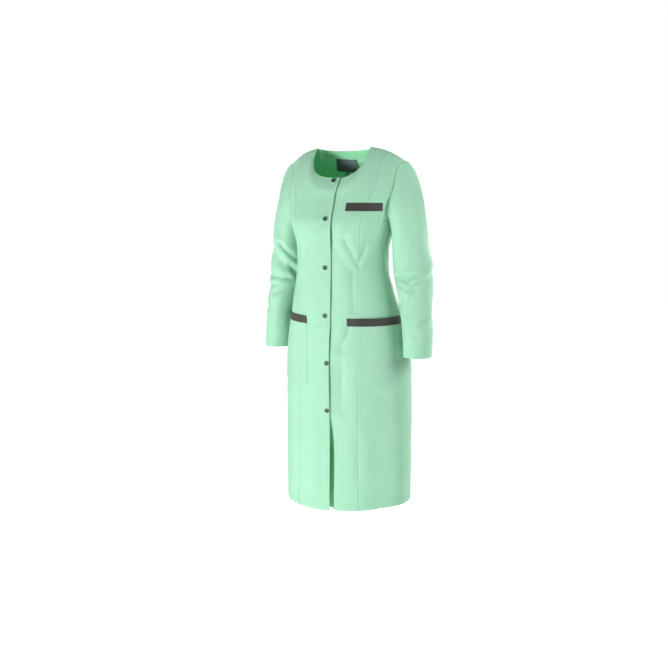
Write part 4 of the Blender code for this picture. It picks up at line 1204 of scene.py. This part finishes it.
def stitches(name, lines, thread):
    """One mesh of all the stitches along some lines: short rounded lengths of thread."""
    rings, girth, sides = np.array(STITCH_RINGS), np.array(STITCH_GIRTHS), STITCH_SIDES
    points, faces = [], []
    for path, normals in lines:
        walked = distance_along(path, 0)
        for middle in np.arange(STITCH_PITCH / 2, walked[-1] - STITCH_PITCH / 2, STITCH_PITCH):
            stops = middle + rings * STITCH_LENGTH / 2
            centre, up = (
                np.stack([np.interp(stops, walked, line[:, k]) for k in range(3)], axis=-1)
                for line in (path, normals)
            )
            up = unit(up)
            ahead = unit(np.gradient(centre, axis=0))
            aside = unit(np.cross(ahead, up))
            height = THREAD_RADIUS * (STITCH_ARCH * girth - STITCH_DIVE)
            centre = centre + up * height[:, None]
            start = len(points) * len(rings) * sides
            turns = np.linspace(0, 2 * pi, sides, endpoint=False)
            round_off = (
                aside[:, None] * np.cos(turns)[None, :, None]
                + up[:, None] * np.sin(turns)[None, :, None]
            )
            points.append(centre[:, None] + round_off * (girth * THREAD_RADIUS)[:, None, None])
            index = start + np.arange(len(rings) * sides).reshape(len(rings), sides)
            turned = np.roll(index, -1, axis=1)
            quads = np.stack([index[:-1], index[1:], turned[1:], turned[:-1]], axis=-1)
            faces += quads.reshape(-1, 4).tolist() + [index[0].tolist(), index[-1][::-1].tolist()]
    mesh = bpy.data.meshes.new(name)
    mesh.from_pydata(np.concatenate(points).reshape(-1, 3).tolist(), [], faces)
    mesh.shade_smooth()
    mesh.materials.append(thread)
    obj = new_object(name, mesh)
    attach(obj, "root")


TWIST_SCALE = 1500.0            # the thread's twist, 0.7 mm a turn


def spun_thread(name, colour):
    """Matt spun thread, light and dark along its twist."""
    material, tree, shader = new_material(name, {"Roughness": 0.6, "Sheen Weight": 0.3})
    place = add_node(tree, "ShaderNodeTexCoord").outputs["Object"]
    twist = add_node(tree, "ShaderNodeTexNoise", {"Vector": place, "Scale": TWIST_SCALE})
    light = add_node(tree, "ShaderNodeMapRange", {"Value": twist.outputs["Fac"], "To Min": 0.8})
    tone = add_node(
        tree, "ShaderNodeHueSaturation",
        {"Color": linear(colour), "Value": light.outputs["Result"]},
    )
    tree.links.new(tone.outputs["Color"], shader.inputs["Base Color"])
    return material


def neckline(name):
    """The stitch line along the neckline's part of a panel."""
    path, normals = line_at(name, "top", NECK_STITCH)
    return path[NECKLINES[name]], normals[NECKLINES[name]]


# Spun polyester, dyed to match: a shade deeper than the mint cloth, so that the lines read as fine
# dots, and the same as the charcoal cloth, on which they barely show.
mint_thread = spun_thread("mint_polyester_thread", "9fdcba")
charcoal_thread = spun_thread("charcoal_polyester_thread", "35322e")
EDGE_STITCH = 0.0016            # from the edge of what is sewn on
for node in ("side_front_right", "side_front_left", "back"):
    lines = [line_at(f"{node}_cloth", "foot", HEM_HEIGHT)]
    if node == "back":
        lines.append(neckline("back_cloth"))
    stitches(f"{node}_stitches", lines, mint_thread)
for hand in ("right", "left"):
    front = f"front_{hand}_cloth"
    lines = [
        line_at(front, "foot", HEM_HEIGHT), line_at(front, "side", FRONT_STITCH), neckline(front)
    ]
    stitches(f"front_{hand}_stitches", lines, mint_thread)
for hand in ("right", "left"):
    lines = [line_at(f"sleeve_{hand}_cloth", "foot", HEM_HEIGHT)]
    stitches(f"sleeve_{hand}_stitches", lines, mint_thread)
    pocket = f"hip_pocket_{hand}_cloth"
    lines = [line_at(pocket, edge, EDGE_STITCH) for edge in ("side", "foot")]
    stitches(f"hip_pocket_{hand}_stitches", lines, mint_thread)
for node, edges in (
    ("hip_band_right", ("side", "foot", "top")), ("hip_band_left", ("side", "foot", "top")),
    ("chest_band", ("side", "foot", "top", "far_side")),
):
    lines = [line_at(f"{node}_cloth", edge, EDGE_STITCH) for edge in edges]
    stitches(f"{node}_stitches", lines, charcoal_thread)
lines = [line_at("back_neck_facing_cloth", "foot", EDGE_STITCH)]
stitches("back_neck_facing_stitches", lines, mint_thread)
lines = [
    line_at("neck_label_cloth", edge, EDGE_STITCH) for edge in ("side", "far_side", "foot", "top")
]
stitches("neck_label_stitches", lines, charcoal_thread)

# ==== Stage ======================================================================================
# Plain pale floor well below the hem, and soft lamps low at the wearer's right front, close by on
# the left, and behind. The camera is at the photograph's place, 28 degrees round to the wearer's
# left and 9.3 degrees up.
FLOOR_Z, FLOOR_REACH = -1.5, 9
floor_mesh = bpy.data.meshes.new("floor")
floor_mesh.from_pydata(
    [(x * FLOOR_REACH, y * FLOOR_REACH, FLOOR_Z) for x, y in ((-1, -1), (1, -1), (1, 1), (-1, 1))],
    [], [(0, 1, 2, 3)],
)
floor = new_object("floor", floor_mesh)
# Matt white studio floor. It glows a little, and more so to the camera, so that it has no horizon.
floor_paint, paint, floor_shader = new_material("pale_studio_floor", {
    "Base Color": linear("f4f4f2"), "Roughness": 0.9, "Emission Color": (1, 1, 1, 1)
})
seen = add_node(paint, "ShaderNodeLightPath").outputs["Is Camera Ray"]
paleness = add_node(
    paint, "ShaderNodeMapRange", {"Value": seen, "To Min": 0.25, "To Max": 0.85}
)
paint.links.new(paleness.outputs["Result"], floor_shader.inputs["Emission Strength"])
floor_mesh.materials.append(floor_paint)

world = bpy.data.worlds.new("studio")
bpy.context.scene.world = world
world.use_nodes = True
sky = world.node_tree
ray = add_node(sky, "ShaderNodeLightPath").outputs["Is Camera Ray"]
glow = add_node(sky, "ShaderNodeMapRange", {"Value": ray, "To Min": 0.22, "To Max": 1.0})
sky.nodes["Background"].inputs["Color"].default_value = (1, 1, 1, 1)
sky.links.new(glow.outputs["Result"], sky.nodes["Background"].inputs["Strength"])
bpy.context.scene.view_settings.view_transform = "Standard"

Lamp = namedtuple("Lamp", "name place aim size power")
LAMPS = (
    Lamp("key", (-1.75, -3.45, -0.98), (0, 0, -0.50), 0.9, 147),
    Lamp("fill", (2.00, 0.12, 0.42), (0, 0, -0.25), 1.1, 31),
    Lamp("background", (0.6, 3.4, 0.6), (0, 0, -0.4), 2.6, 118),
)
for lamp in LAMPS:
    light = bpy.data.lights.new(lamp.name, "AREA")
    light.energy = lamp.power
    light.size = lamp.size
    holder = new_object(lamp.name, light)
    holder.location = lamp.place
    toward = Vector(lamp.aim) - Vector(lamp.place)
    holder.rotation_euler = toward.to_track_quat("-Z", "Y").to_euler()

CAMERA_AZIMUTH, CAMERA_ELEVATION, CAMERA_DISTANCE = 28.0, 9.26, 2.45   # distance along the floor
CAMERA_LENS, CAMERA_SENSOR = 44.30, 36.0        # in millimetres
AIM_ACROSS, AIM_Z = -0.0285, -0.5505            # what the camera is turned to
camera_data = bpy.data.cameras.new("camera")
camera_data.lens = CAMERA_LENS
camera_data.sensor_width = CAMERA_SENSOR
camera = new_object("camera", camera_data)
turn, rise = radians(CAMERA_AZIMUTH), radians(CAMERA_ELEVATION)
backward = Vector((np.sin(turn) * cos(rise), -np.cos(turn) * cos(rise), np.sin(rise)))
aim = Vector((AIM_ACROSS * np.cos(turn), AIM_ACROSS * np.sin(turn), AIM_Z))
camera.location = aim + backward * (CAMERA_DISTANCE / cos(rise))
camera.rotation_euler = (-backward).to_track_quat("-Z", "Y").to_euler()
bpy.context.scene.camera = camera
